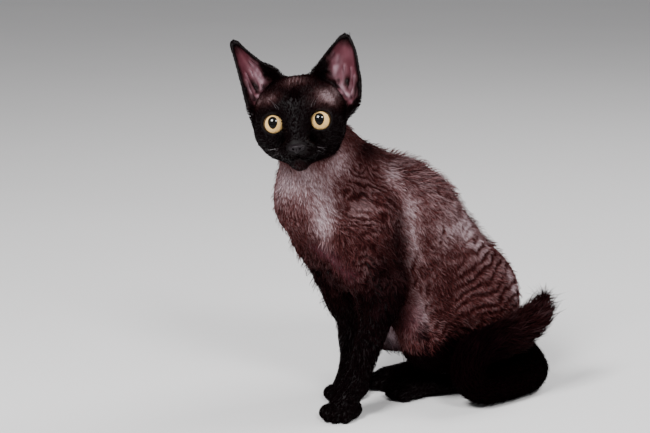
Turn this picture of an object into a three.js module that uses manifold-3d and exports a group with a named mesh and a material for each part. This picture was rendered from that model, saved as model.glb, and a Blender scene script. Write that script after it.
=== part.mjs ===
import * as THREE from "three";
import { mergeVertices } from "three/addons/utils/BufferGeometryUtils.js";
import Module from "manifold-3d";

// A young devon rex cat sitting on a floor, life size, in millimetres.
// +Z is up, the hindquarters point back along +Y and the cat's left side is +X.
// The flesh and its short coat are one smooth field of balls, bones and eggs,
// meshed part by part and parted with thin cuts.

const wasm = await Module();
wasm.setup();

// Driving dimensions
const GAP = 0.3; // between touching pieces
const EYE_RADIUS = 10.4;
const LID = 1.5; // thickness of the eyelids
const EAR_THICKNESS = 2.2;
const FLESH_FILLET = 13; // where one form of the body runs into the next
const FAR = 900; // size of the boxes that stand for half of space

const V = (x, y, z) => new THREE.Vector3(x, y, z);
const clamp = (x, lo, hi) => Math.min(hi, Math.max(lo, x));
const mix = (a, b, t) => a + (b - a) * t;
const radians = THREE.MathUtils.degToRad;

// Joins two distances with a fillet of about the given size.
function smoothMin(a, b, fillet) {
  const h = Math.max(fillet - Math.abs(a - b), 0) / fillet;
  return Math.min(a, b) - (h * h * fillet) / 4;
}

// A limb between two joints, its radius changing evenly from one to the other.
// A width over 1 makes it broader across X than it is deep.
function bone(from, to, fromRadius, toRadius, width = 1) {
  const along = to.clone().sub(from);
  along.x /= width;
  const square = along.lengthSq();
  const scale = Math.min(1, width);
  return (x, y, z) => {
    const px = (x - from.x) / width;
    const py = y - from.y;
    const pz = z - from.z;
    const t = clamp((px * along.x + py * along.y + pz * along.z) / square, 0, 1);
    const d = Math.hypot(px - along.x * t, py - along.y * t, pz - along.z * t);
    return (d - mix(fromRadius, toRadius, t)) * scale;
  };
}

// An egg with three half sizes, turned by a quaternion.
function egg(centre, half, turn = new THREE.Quaternion()) {
  const m = new THREE.Matrix4().makeRotationFromQuaternion(turn.clone().invert()).elements;
  return (x, y, z) => {
    const px = x - centre.x;
    const py = y - centre.y;
    const pz = z - centre.z;
    const qx = (m[0] * px + m[4] * py + m[8] * pz) / half.x;
    const qy = (m[1] * px + m[5] * py + m[9] * pz) / half.y;
    const qz = (m[2] * px + m[6] * py + m[10] * pz) / half.z;
    const k = Math.hypot(qx, qy, qz);
    const g = Math.hypot(qx / half.x, qy / half.y, qz / half.z);
    return g < 1e-9 ? -Math.min(half.x, half.y, half.z) : (k * (k - 1)) / g;
  };
}

const ball = (centre, radius) => egg(centre, V(radius, radius, radius));

// Joins forms one after another with one fillet size.
function blend(fillet, ...forms) {
  return (x, y, z) => {
    let d = forms[0](x, y, z);
    for (let i = 1; i < forms.length; i++) d = smoothMin(d, forms[i](x, y, z), fillet);
    return d;
  };
}

// A field seen from a frame of its own, and one set back into the cat's frame.
function inFrame(field, frame) {
  const m = frame.elements;
  return (x, y, z) =>
    field(
      m[0] * x + m[4] * y + m[8] * z + m[12],
      m[1] * x + m[5] * y + m[9] * z + m[13],
      m[2] * x + m[6] * y + m[10] * z + m[14],
    );
}
const outOfFrame = (field, frame) => inFrame(field, frame.clone().invert());

// Turns: yaw is toward the cat's left, pitch is nose up, roll is the crown to its right.
function turned(yaw = 0, pitch = 0, roll = 0) {
  const turn = new THREE.Quaternion().setFromAxisAngle(V(0, 0, 1), radians(yaw));
  turn.multiply(new THREE.Quaternion().setFromAxisAngle(V(1, 0, 0), radians(-pitch)));
  return turn.multiply(new THREE.Quaternion().setFromAxisAngle(V(0, 1, 0), radians(-roll)));
}

const frameAt = (centre, turn) => new THREE.Matrix4().compose(centre, turn, V(1, 1, 1));

// The head's own frame: -Y to the nose, +X to the cat's left, +Z to the crown
const HEAD = { centre: V(24, -44, 259), turn: turned(53, 9, 5.3) };
const headFrame = frameAt(HEAD.centre, HEAD.turn);

const EYE = { across: 18.8, forward: 17.6, up: -3 };
const eyeCentre = (side) => V(side * EYE.across, -EYE.forward, EYE.up);
const BOTH = [1, -1]; // the cat's left, then its right

const headForm = blend(
  6,
  egg(V(0, 6, 6), V(37.5, 38, 29.5)),
  ...BOTH.map((s) => egg(V(s * 21, -3, -8), V(17, 22, 20))),
  bone(V(0, -16, 8), V(0, -31, -16), 17, 9.5),
  ...BOTH.map((s) => egg(V(s * 7.5, -32.5, -26), V(8.5, 9, 7.5))),
  egg(V(0, -37, -22), V(7, 6, 5.5)),
  ball(V(0, -28, -35.5), 6),
  ...BOTH.map((s) => egg(V(s * 17, -19, 10), V(13, 8, 7), turned(s * 25))),
  ...BOTH.map((s) => bone(V(s * 18, 2, -21), V(0, -23, -33), 12, 7.5)),
);

// Trunk, from the breast back to the rump
const BREAST = V(0, -11, 183);
const RIBS = V(5, 74, 158);
const LOIN = V(11, 142, 82);
const RUMP = V(12, 150, 40);
const NECK_ROOT = V(1, -9, 208);
const NECK_TOP = V(10, -22, 230);

const trunk = [
  bone(BREAST, RIBS, 37.5, 44.5),
  bone(RIBS, LOIN, 44.5, 42.5),
  bone(LOIN, RUMP, 42.5, 36.5),
  bone(V(8, 50, 140), V(11, 112, 72), 38, 40),
  bone(V(2, 4, 170), V(8, 18, 128), 32, 25),
  bone(V(2, 70, 190), V(0, 34, 201), 21, 23),
  bone(NECK_ROOT, NECK_TOP, 35, 29),
  bone(V(3, 24, 204), V(9, -4, 230), 25, 21),
];

// Limbs: joints for the cat's left and right
const LEGS = [
  {
    side: "left",
    shoulderBlade: V(26, 48, 186),
    shoulder: V(34, 0, 152),
    elbow: V(42, 31, 108),
    wrist: V(42, 0, 28),
    paw: V(40, -12, 0),
    pawYaw: 22,
    hip: V(38, 136, 74),
    knee: V(45, 74, 54),
    hock: V(38, 132, 13),
    toes: V(24, 67, 0),
  },
  {
    side: "right",
    shoulderBlade: V(-22, 50, 184),
    shoulder: V(-30, 6, 148),
    elbow: V(-22, 34, 98),
    wrist: V(-7, 29, 28),
    paw: V(-4, 20, 0),
    pawYaw: 20,
    hip: V(-16, 138, 74),
    knee: V(-22, 78, 54),
    hock: V(-20, 134, 13),
    toes: V(-14, 67, 0),
  },
];

const foreleg = (leg) => [
  bone(leg.shoulderBlade, leg.shoulder, 15, 20),
  bone(leg.shoulder, leg.elbow, 20, 16),
  bone(leg.elbow, leg.wrist, 15.5, 10.5),
];
const thigh = (leg) => [
  bone(leg.hip, leg.knee, 31, 18, 0.85),
  bone(leg.knee, leg.hock, 15, 9),
];

const bodyFlesh = blend(
  FLESH_FILLET,
  ...trunk,
  ...LEGS.flatMap(foreleg),
  ...LEGS.flatMap(thigh),
);

// Paws, each in a frame on the floor with -Y to the toes
const TOE = { radius: 6.8, across: 6.9, stagger: 5 };
const toeBalls = (forward) =>
  [-1.5, -0.5, 0.5, 1.5].map((n) => {
    const outer = Math.abs(n) > 1;
    return egg(
      V(n * TOE.across, -forward + (outer ? TOE.stagger : 0), TOE.radius - 0.6),
      V(TOE.radius * 0.8, TOE.radius * 1.25, TOE.radius),
    );
  });
function forepawForm(leg) {
  const frame = frameAt(leg.paw, turned(leg.pawYaw));
  const wrist = leg.wrist.clone().applyMatrix4(frame.clone().invert());
  const palm = blend(6, bone(wrist, V(0, -4, 9), 11, 10.5), egg(V(1, 3, 7), V(15, 14.5, 8.5)));
  return outOfFrame(blend(2, palm, ...toeBalls(14)), frame);
}
function hindpawForm(leg) {
  const heel = V(leg.hock.x, leg.hock.y, 0);
  const run = heel.clone().sub(leg.toes);
  const yaw = THREE.MathUtils.radToDeg(Math.atan2(-run.x, run.y));
  const frame = frameAt(leg.toes, turned(yaw));
  const sole = bone(V(0, run.length(), 10), V(0, 4, 9), 9.5, 9, 1.15);
  return outOfFrame(blend(2.5, blend(5, sole, egg(V(0, 2, 7), V(13, 13, 8))), ...toeBalls(12)), frame);
}

const headInCat = outOfFrame(headForm, headFrame);
const catFlesh = (x, y, z) => smoothMin(bodyFlesh(x, y, z), headInCat(x, y, z), 9);
const forelegFlesh = blend(6, catFlesh, ...LEGS.map(forepawForm));

// Turns a field into a closed mesh on a grid of cells, one vertex a cell.
// Cells whose corners would pinch the surface get corners filled until they don't.
const CORNERS = [0, 1, 2, 3, 4, 5, 6, 7].map((i) => [i & 1, (i >> 1) & 1, (i >> 2) & 1]);
const EDGES = CORNERS.flatMap((_, a) => [1, 2, 4].filter((bit) => !(a & bit)).map((bit) => [a, a | bit]));
const FACES = [1, 2, 4].flatMap((axis) => {
  const [p, q] = [1, 2, 4].filter((bit) => bit !== axis);
  return [0, axis].map((base) => [base, base | p, base | p | q, base | q]);
});

function connected(set) {
  if (set.length < 2) return true;
  const reached = new Set([set[0]]);
  for (let grew = true; grew; ) {
    grew = false;
    for (const [a, b] of EDGES) {
      if (!set.includes(a) || !set.includes(b) || reached.has(a) === reached.has(b)) continue;
      reached.add(a).add(b);
      grew = true;
    }
  }
  return reached.size === set.length;
}

const PINCHED = Array.from({ length: 256 }, (_, mask) => {
  const inside = CORNERS.map((_, i) => i).filter((i) => mask & (1 << i));
  const outside = CORNERS.map((_, i) => i).filter((i) => !(mask & (1 << i)));
  const crossed = FACES.some(([a, b, c, d]) => {
    const bits = [a, b, c, d].map((i) => (mask >> i) & 1);
    return bits[0] === bits[2] && bits[1] === bits[3] && bits[0] !== bits[1];
  });
  return crossed || !connected(inside) || !connected(outside);
});

// The lines of a grid along one axis, from a start through stretches of even cells.
function ruled(from, ...stretches) {
  const lines = [from];
  for (const [until, cell] of stretches) {
    const start = lines[lines.length - 1];
    const count = Math.max(1, Math.round((until - start) / cell));
    for (let i = 1; i <= count; i++) lines.push(mix(start, until, i / count));
  }
  return lines;
}
const evenGrid = (low, high, cell) =>
  ["x", "y", "z"].map((axis) => ruled(low[axis], [high[axis], cell]));

function surfaceOf(field, [xs, ys, zs]) {
  const [nx, ny, nz] = [xs.length, ys.length, zs.length];
  const at = (i, j, k) => i + nx * (j + ny * k);
  const sizeAt = (i, j, k) => Math.min(xs[i + 1] - xs[i], ys[j + 1] - ys[j], zs[k + 1] - zs[k]);
  const values = new Float64Array(nx * ny * nz);
  for (let k = 0; k < nz; k++) {
    for (let j = 0; j < ny; j++) {
      for (let i = 0; i < nx; i++) {
        const rim = i === 0 || j === 0 || k === 0 || i === nx - 1 || j === ny - 1 || k === nz - 1;
        const d = field(xs[i], ys[j], zs[k]);
        values[at(i, j, k)] = rim ? Math.max(d, 1) : d;
      }
    }
  }
  const steps = CORNERS.map(([i, j, k]) => at(i, j, k));
  const maskAt = (base) => steps.reduce((mask, step, n) => mask | (values[base + step] < 0 ? 1 << n : 0), 0);
  for (let filled = true; filled; ) {
    filled = false;
    for (let k = 0; k < nz - 1; k++) {
      for (let j = 0; j < ny - 1; j++) {
        for (let i = 0; i < nx - 1; i++) {
          const base = at(i, j, k);
          if (!PINCHED[maskAt(base)]) continue;
          const outer = steps.filter((step) => values[base + step] >= 0);
          const nearest = outer.reduce((a, b) => (values[base + a] < values[base + b] ? a : b));
          values[base + nearest] = -0.05 * sizeAt(i, j, k);
          filled = true;
        }
      }
    }
  }

  const positions = [];
  const indices = [];
  const vertexOf = new Int32Array(nx * ny * nz).fill(-1);
  for (let k = 0; k < nz - 1; k++) {
    for (let j = 0; j < ny - 1; j++) {
      for (let i = 0; i < nx - 1; i++) {
        const base = at(i, j, k);
        const point = V(0, 0, 0);
        let crossings = 0;
        for (const [a, b] of EDGES) {
          const va = values[base + steps[a]];
          const vb = values[base + steps[b]];
          if (va < 0 === vb < 0) continue;
          point.add(V(...CORNERS[a]).lerp(V(...CORNERS[b]), va / (va - vb)));
          crossings++;
        }
        if (!crossings) continue;
        point.divideScalar(crossings).set(
          mix(xs[i], xs[i + 1], point.x),
          mix(ys[j], ys[j + 1], point.y),
          mix(zs[k], zs[k + 1], point.z),
        );
        const settled = settle(field, point, sizeAt(i, j, k));
        vertexOf[base] = positions.length / 3;
        positions.push(settled.x, settled.y, settled.z);
      }
    }
  }
  const unit = [at(1, 0, 0), at(0, 1, 0), at(0, 0, 1)];
  for (let k = 0; k < nz - 1; k++) {
    for (let j = 0; j < ny - 1; j++) {
      for (let i = 0; i < nx - 1; i++) {
        const base = at(i, j, k);
        for (let axis = 0; axis < 3; axis++) {
          const here = values[base] < 0;
          if (here === values[base + unit[axis]] < 0) continue;
          const u = unit[(axis + 1) % 3];
          const v = unit[(axis + 2) % 3];
          const ring = [base - u - v, base - v, base, base - u].map((cellIndex) => vertexOf[cellIndex]);
          if (!here) ring.reverse();
          pushQuad(indices, positions, ring);
        }
      }
    }
  }
  const geometry = new THREE.BufferGeometry();
  geometry.setAttribute("position", new THREE.Float32BufferAttribute(positions, 3));
  geometry.setIndex(indices);
  return geometry;
}

// Moves a vertex onto the field's surface, no further than part of a cell.
function settle(field, point, cell) {
  const e = cell * 0.05;
  const moved = point.clone();
  for (let pass = 0; pass < 2; pass++) {
    const { x, y, z } = moved;
    const slope = V(
      field(x + e, y, z) - field(x - e, y, z),
      field(x, y + e, z) - field(x, y - e, z),
      field(x, y, z + e) - field(x, y, z - e),
    ).divideScalar(2 * e);
    const square = slope.lengthSq();
    if (square < 0.05) break;
    moved.addScaledVector(slope, -field(x, y, z) / square);
  }
  const shift = moved.sub(point);
  return point.clone().add(shift.clampLength(0, cell * 0.4));
}

// Splits a ring of four vertices along its shorter diagonal.
function pushQuad(indices, positions, [a, b, c, d]) {
  const apart = (p, q) =>
    Math.hypot(...[0, 1, 2].map((n) => positions[3 * p + n] - positions[3 * q + n]));
  if (apart(a, c) <= apart(b, d)) indices.push(a, b, c, a, c, d);
  else indices.push(a, b, d, b, c, d);
}

// Solids for cutting and joining
function solid(geometry) {
  const bare = geometry.clone();
  bare.deleteAttribute("normal");
  bare.deleteAttribute("uv");
  const merged = mergeVertices(bare, 1e-4);
  return new wasm.Manifold(
    new wasm.Mesh({
      numProp: 3,
      vertProperties: new Float32Array(merged.attributes.position.array),
      triVerts: new Uint32Array(merged.index.array),
    }),
  );
}

function geometryOf(manifold) {
  const mesh = manifold.getMesh();
  const geometry = new THREE.BufferGeometry();
  geometry.setAttribute("position", new THREE.Float32BufferAttribute(mesh.vertProperties, 3));
  geometry.setIndex([...mesh.triVerts]);
  return geometry;
}

const largest = (manifold) =>
  manifold.decompose().reduce((a, b) => (a.volume() >= b.volume() ? a : b));

// Half of space on the far side of a plane, seen along its normal.
function halfSpace(point, normal, inset = GAP / 2) {
  const unit = normal.clone().normalize();
  const turn = new THREE.Quaternion().setFromUnitVectors(V(0, 0, 1), unit);
  const centre = point.clone().addScaledVector(unit, FAR / 2 + inset);
  return solid(new THREE.BoxGeometry(FAR, FAR, FAR).applyQuaternion(turn).translate(...centre));
}

const fur = (name, colour, roughness = 0.85) =>
  Object.assign(new THREE.MeshStandardMaterial({ color: colour, roughness, metalness: 0 }), { name });
const COAT = fur("coat", 0x4a3f40);
const DARK = fur("dark_coat", 0x1c1617);
const LEATHER = fur("nose_leather", 0x5b4a52, 0.55);
const IRIS = fur("iris", 0xc9b96a, 0.15);

// The same mesh with each vertex moved out along the field's slope.
function swollen(geometry, field, margin) {
  const grown = geometry.clone();
  const place = grown.attributes.position;
  const e = 0.2;
  for (let i = 0; i < place.count; i++) {
    const [x, y, z] = [place.getX(i), place.getY(i), place.getZ(i)];
    const slope = V(
      field(x + e, y, z) - field(x - e, y, z),
      field(x, y + e, z) - field(x, y - e, z),
      field(x, y, z + e) - field(x, y, z - e),
    ).setLength(margin);
    place.setXYZ(i, x + slope.x, y + slope.y, z + slope.z);
  }
  return grown;
}

// A round form along a curve, with frames that don't twist and a radius at each place.
class Tube {
  constructor(curve, radiusAt) {
    this.curve = curve;
    this.radiusAt = radiusAt;
    this.steps = 100;
    this.frames = curve.computeFrenetFrames(this.steps);
  }

  // The direction out of the curve at an angle round it, and the one across that.
  around(t, angle) {
    const along = this.curve.getTangentAt(t);
    const lift = along.clone().cross(this.frames.normals[Math.round(t * this.steps)]).normalize();
    const across = lift.clone().cross(along).normalize();
    const out = across.multiplyScalar(Math.cos(angle)).addScaledVector(lift, Math.sin(angle));
    return { out, side: out.clone().cross(along) };
  }

  point(t, angle, radius) {
    return this.curve.getPointAt(t).addScaledVector(this.around(t, angle).out, radius);
  }

  // The length between two shares of the curve, closed at both ends.
  length(from, to, sections, sides) {
    const positions = [];
    const indices = [];
    for (let s = 0; s <= sections; s++) {
      const t = mix(from, to, s / sections);
      for (let n = 0; n < sides; n++) {
        positions.push(...this.point(t, (2 * Math.PI * n) / sides, this.radiusAt(t)));
      }
    }
    for (let s = 0; s < sections; s++) pushBand(indices, s * sides, (s + 1) * sides, sides);
    const last = sections * sides;
    for (let n = 1; n < sides - 1; n++) {
      indices.push(0, n, n + 1);
      indices.push(last, last + n + 1, last + n);
    }
    return closedOut(positions, indices);
  }
}

// Joins two rings of vertices, given by the first of each.
function pushBand(indices, lower, upper, sides) {
  for (let n = 0; n < sides; n++) {
    const m = (n + 1) % sides;
    indices.push(lower + n, upper + n, upper + m, lower + n, upper + m, lower + m);
  }
}

// A closed geometry from plain lists, turned to face out.
function closedOut(positions, indices) {
  let volume = 0;
  const corner = (i) => V(positions[3 * i], positions[3 * i + 1], positions[3 * i + 2]);
  for (let i = 0; i < indices.length; i += 3) {
    const [a, b, c] = [corner(indices[i]), corner(indices[i + 1]), corner(indices[i + 2])];
    volume += a.dot(b.cross(c));
  }
  if (volume < 0) indices.reverse();
  const geometry = new THREE.BufferGeometry();
  geometry.setAttribute("position", new THREE.Float32BufferAttribute(positions, 3));
  geometry.setIndex(indices);
  return geometry;
}

const cat = new THREE.Group();
cat.name = "devon_rex_cat";
const head = new THREE.Group();
head.name = "head_group";
head.position.copy(HEAD.centre);
head.quaternion.copy(HEAD.turn);
cat.add(head);

function addNode(parent, name, manifold, material) {
  const mesh = new THREE.Mesh(geometryOf(largest(manifold)), material);
  mesh.name = name;
  parent.add(mesh);
  return mesh;
}

// Planes that part the trunk, each facing back down the spine
const NECK_CUT = { point: V(3, -2, 204), normal: V(0.05, 0.45, -0.9) };
const HEAD_CUT = { point: V(8, -22, 236), normal: V(-0.45, 0.45, -0.78) };
const CHEST_CUT = { point: V(6, 70, 150), normal: V(0, 0.85, -0.5) };
const RUMP_CUT = { point: V(10, 124, 90), normal: V(0, 0.75, -0.66) };
const before = ({ point, normal }) => halfSpace(point, normal.clone().negate());
const behind = ({ point, normal }) => halfSpace(point, normal);
const above = halfSpace(V(0, 0, 0), V(0, 0, 1), 0);

// Boxes that part the limbs from the trunk, from their low and high corners
const ELBOW_LEVEL = 98;
const WRIST_LEVEL = 25;
const BETWEEN_FORELEGS = 20;
const FORELEG_REAR = 52;
const span = (low, high) => ({ low, high });
const legBoxes = LEGS.map((leg) => {
  const left = leg.side === "left";
  const outward = (from, to) => (left ? [from, to] : [to, from]);
  const box = (inner, outer, y0, z0, y1, z1) => {
    const [x0, x1] = outward(inner, outer);
    return span(V(x0, y0, z0), V(x1, y1, z1));
  };
  const outer = left ? 90 : -80;
  return {
    upper: box(left ? 25 : -16, outer, -50, ELBOW_LEVEL, 72, 190),
    lower: box(BETWEEN_FORELEGS, outer, -70, WRIST_LEVEL, FORELEG_REAR, ELBOW_LEVEL),
    paw: box(BETWEEN_FORELEGS, outer, -70, -10, FORELEG_REAR, WRIST_LEVEL),
    thigh: box(left ? 34 : -11, outer, FORELEG_REAR, 14, 166, ELBOW_LEVEL),
  };
});
function boxOf({ low, high }, margin) {
  const size = high.clone().sub(low).addScalar(2 * margin);
  const centre = low.clone().add(high).multiplyScalar(0.5);
  return solid(new THREE.BoxGeometry(...size).translate(...centre));
}

const TOE_CELL = 5.1;
const SOLE_CELL = 10;
const hindfeet = LEGS.map((leg) => {
  const form = hindpawForm(leg);
  const skin = surfaceOf(form, [
    ruled(Math.min(leg.hock.x, leg.toes.x) - 26, [Math.max(leg.hock.x, leg.toes.x) + 26, TOE_CELL]),
    ruled(leg.toes.y - 30, [leg.toes.y + 10, TOE_CELL], [leg.hock.y + 20, SOLE_CELL]),
    ruled(-12, [26, TOE_CELL]),
  ]);
  return { form, skin };
});
const footRoom = hindfeet.map(({ form, skin }) => solid(swollen(skin, form, GAP)));

const TRUNK_CELL = 13.5;
const trunkSkin = surfaceOf(catFlesh, evenGrid(V(-72, -76, -12), V(84, 212, 268), TRUNK_CELL));

// A random draw that is the same every time
function seeded(seed) {
  let state = seed;
  return () => {
    state = (Math.imul(state, 1664525) + 1013904223) >>> 0;
    return state / 2 ** 32;
  };
}

// Waves of the coat: rounded clumps set close, each longer across the lie of the hair
// than along it. They are rooted in the flesh and stand a little proud of it.
const WAVES = {
  crest: 21, // half length across the lie
  breadth: 13.5, // half breadth along the lie
  height: 3, // above the flesh
  root: 3, // below it
  sides: 6,
  spacing: V(41, 28, 20), // across the lie, along it, and through the flesh
};
const LIE = V(0, 0.55, -0.83); // the hair lies back and down from the withers

function slopeOf(field, { x, y, z }) {
  const e = 0.5;
  return V(
    field(x + e, y, z) - field(x - e, y, z),
    field(x, y + e, z) - field(x, y - e, z),
    field(x, y, z + e) - field(x, y, z - e),
  ).normalize();
}

// The frame of a tuft: X across the lie, Y along it, Z out of the flesh.
function coatFrame(field, point, lieOfHair) {
  const out = slopeOf(field, point);
  const lie = lieOfHair.clone().addScaledVector(out, -lieOfHair.dot(out)).normalize();
  const crest = lie.clone().cross(out);
  return { crest, lie, out };
}

// A low dome with a crown, its far side a little steeper than its near one.
function clumpAt({ point, crest, lie, out, size }, margin = 0) {
  const rings = [[-WAVES.root, 1.15], [WAVES.height * 0.72, 0.7]];
  const positions = [];
  for (const [height, spread] of rings) {
    for (let n = 0; n < WAVES.sides; n++) {
      const angle = (2 * Math.PI * n) / WAVES.sides;
      const vertex = point.clone().addScaledVector(out, height * size + margin);
      vertex.addScaledVector(crest, Math.cos(angle) * (WAVES.crest * spread * size + margin));
      vertex.addScaledVector(lie, Math.sin(angle) * (WAVES.breadth * spread * size + margin));
      positions.push(...settleHeight(vertex, point, out));
    }
  }
  const crown = point.clone().addScaledVector(out, WAVES.height * size + margin).addScaledVector(lie, 1.2);
  positions.push(...crown);
  const indices = [];
  pushBand(indices, 0, WAVES.sides, WAVES.sides);
  for (let n = 0; n < WAVES.sides; n++) {
    const m = (n + 1) % WAVES.sides;
    indices.push(WAVES.sides + m, WAVES.sides + n, 2 * WAVES.sides);
    if (n > 1) indices.push(0, n - 1, n);
  }
  return solid(closedOut(positions, indices));
}

// Lets a clump follow the curve of the body: each vertex keeps its height over the flesh.
function settleHeight(vertex, point, out) {
  const height = vertex.clone().sub(point).dot(out);
  return vertex.addScaledVector(out, height - catFlesh(...vertex));
}

// The coat waves on the body only: not on the head, the throat, the breast, the belly
// or the lower legs, where it lies flat.
function coated(point, out) {
  if (headInCat(...point) < 16 || point.z < 46) return false;
  const breast = point.y < -12 || (point.y < 30 && Math.abs(point.x - 2) < 26 && out.y < 0.2);
  return !breast && out.z > -0.55;
}

function coatClumps() {
  const draw = seeded(7);
  const place = trunkSkin.attributes.position;
  const corners = trunkSkin.index.array;
  const candidates = [];
  const corner = (i) => V(place.getX(corners[i]), place.getY(corners[i]), place.getZ(corners[i]));
  for (let i = 0; i < corners.length; i += 3) {
    for (let n = 0; n < 4; n++) {
      const [u, v] = [draw() / 2, draw() / 2];
      const spot = corner(i).multiplyScalar(1 - u - v);
      spot.addScaledVector(corner(i + 1), u).addScaledVector(corner(i + 2), v);
      candidates.push({ point: settle(catFlesh, spot, TRUNK_CELL), order: draw() });
    }
  }
  candidates.sort((a, b) => a.order - b.order);
  const clumps = [];
  for (const { point } of candidates) {
    const frame = coatFrame(catFlesh, point, LIE);
    if (!coated(point, frame.out)) continue;
    const close = clumps.some((other) => {
      const apart = point.clone().sub(other.point);
      return Math.hypot(
        apart.dot(frame.crest) / WAVES.spacing.x,
        apart.dot(frame.lie) / WAVES.spacing.y,
        apart.dot(frame.out) / WAVES.spacing.z,
      ) < 1;
    });
    if (!close) clumps.push({ point, ...frame, size: 0.9 + 0.2 * draw() });
  }
  return clumps;
}

const CLUMPS = coatClumps();
let trunkSolid = solid(trunkSkin).intersect(above);
for (const clump of CLUMPS) trunkSolid = trunkSolid.add(clumpAt(clump));

function trunkPart(name, cuts, boxes, material) {
  let part = trunkSolid;
  for (const cut of cuts) part = part.intersect(cut);
  for (const box of boxes) part = part.subtract(boxOf(box, GAP / 2));
  for (const room of footRoom) part = part.subtract(room);
  return addNode(cat, name, part, material);
}
const forelegBoxes = legBoxes.flatMap(({ upper, lower, paw }) => [upper, lower, paw]);
const thighBoxes = legBoxes.map(({ thigh }) => thigh);
trunkPart("neck", [behind(HEAD_CUT), before(NECK_CUT)], [], COAT);
trunkPart("chest", [behind(NECK_CUT), before(CHEST_CUT)], [...forelegBoxes, ...thighBoxes], COAT);
trunkPart("belly", [behind(CHEST_CUT), before(RUMP_CUT)], [...forelegBoxes, ...thighBoxes], COAT);
trunkPart("rump", [behind(RUMP_CUT)], thighBoxes, COAT);

const LEG_CELL = 6.6;
LEGS.forEach((leg, i) => {
  const { upper, lower, paw, thigh: thighBox } = legBoxes[i];
  const upperPart = trunkSolid.intersect(boxOf(upper, -GAP / 2)).intersect(behind(NECK_CUT));
  addNode(cat, `foreleg_${leg.side}_upper`, upperPart, COAT);
  const low = lower.low.clone().max(V(-50, -30, 0)).subScalar(9);
  const high = lower.high.clone().min(V(64, 60, 110)).addScalar(9);
  const skin = surfaceOf(forelegFlesh, [
    ruled(low.x, [high.x, LEG_CELL]),
    ruled(low.y, [high.y, LEG_CELL]),
    ruled(low.z, [high.z, 1.8 * LEG_CELL]),
  ]);
  addNode(cat, `foreleg_${leg.side}_lower`, solid(skin).intersect(boxOf(lower, -GAP / 2)), DARK);
  const pawLow = V(leg.paw.x - 30, leg.paw.y - 30, -12);
  const pawHigh = V(leg.paw.x + 30, leg.paw.y + 34, WRIST_LEVEL + 8);
  const pawSkin = surfaceOf(forelegFlesh, evenGrid(pawLow, pawHigh, TOE_CELL));
  const pawPart = solid(pawSkin).intersect(boxOf(paw, -GAP / 2)).intersect(above);
  addNode(cat, `forepaw_${leg.side}`, pawPart, DARK);
  let thighPart = trunkSolid.intersect(boxOf(thighBox, -GAP / 2));
  for (const room of footRoom) thighPart = thighPart.subtract(room);
  addNode(cat, `thigh_${leg.side}`, thighPart, COAT);
  addNode(cat, `hindfoot_${leg.side}`, solid(hindfeet[i].skin).intersect(above), DARK);
});

// Tail: from the rump round the left hip, forward along the floor, then folded back over itself
const TAIL_PATH = new THREE.CatmullRomCurve3(
  [
    V(12, 158, 46),
    V(26, 182, 30),
    V(50, 182, 18),
    V(66, 166, 16),
    V(73, 140, 16),
    V(77, 114, 17),
    V(79, 98, 23),
    V(80, 91, 37),
    V(81, 98, 51),
    V(82, 115, 57),
    V(82, 138, 62),
    V(80, 162, 74),
    V(77, 180, 90),
  ],
  false,
  "centripetal",
);
// Radius by the share of the tail's length: of its core, and out to the tips of its locks
const TAIL_RADII = [[0, 16], [0.3, 15.5], [0.55, 14.5], [0.7, 14], [0.82, 12.5], [0.92, 8], [1, 2]];
const BRUSH_RADII = [[0.6, 15], [0.72, 17.5], [0.84, 18.5], [0.93, 12], [1, 1.5]];
function radiusBy(table, t) {
  const next = Math.max(1, table.findIndex(([share]) => share >= t));
  const [[t0, r0], [t1, r1]] = [table[next - 1], table[next]];
  return mix(r0, r1, THREE.MathUtils.smoothstep(t, t0, t1));
}
const tail = new Tube(TAIL_PATH, (t) => radiusBy(TAIL_RADII, t));

// The brush: flat, tapered locks of long straight hair, in rings that overlap toward the tip
const BRUSH = {
  rings: [[0.71, 4], [0.8, 4], [0.88, 3]], // share of the tail's length, locks round it
  reach: 0.17, // of the tail's length
  halfWidth: 12,
  halfThickness: 2,
  root: 0.62, // of the core's radius
  sections: [[0, 0.8], [0.5, 1], [1, 0.12]], // share of a lock's reach, share of its width
};
function lockAt(share, angle, size) {
  const positions = [];
  for (const [step, spread] of BRUSH.sections) {
    const t = Math.min(1, share + step * BRUSH.reach);
    const radius = step ? radiusBy(BRUSH_RADII, t) * mix(0.7, 1, step) : tail.radiusAt(t) * BRUSH.root;
    const centre = tail.point(t, angle, radius);
    const { out, side } = tail.around(t, angle);
    const width = BRUSH.halfWidth * size * spread;
    const thickness = BRUSH.halfThickness * Math.max(spread, 0.4);
    for (const [direction, extent] of [[side, width], [out, thickness], [side, -width], [out, -thickness]]) {
      positions.push(...centre.clone().addScaledVector(direction, extent));
    }
  }
  const indices = [0, 1, 2, 0, 2, 3, 8, 10, 9, 8, 11, 10];
  pushBand(indices, 0, 4, 4);
  pushBand(indices, 4, 8, 4);
  return solid(closedOut(positions, indices));
}
function brushLocks() {
  const draw = seeded(11);
  return BRUSH.rings.flatMap(([share, locks], ring) =>
    Array.from({ length: locks }, (_, n) => {
      const turn = (n + (ring % 2) / 2 + 0.25 * (draw() - 0.5)) / locks;
      return lockAt(share + 0.01 * draw(), 2 * Math.PI * turn, 0.9 + 0.25 * draw());
    }),
  );
}

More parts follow.
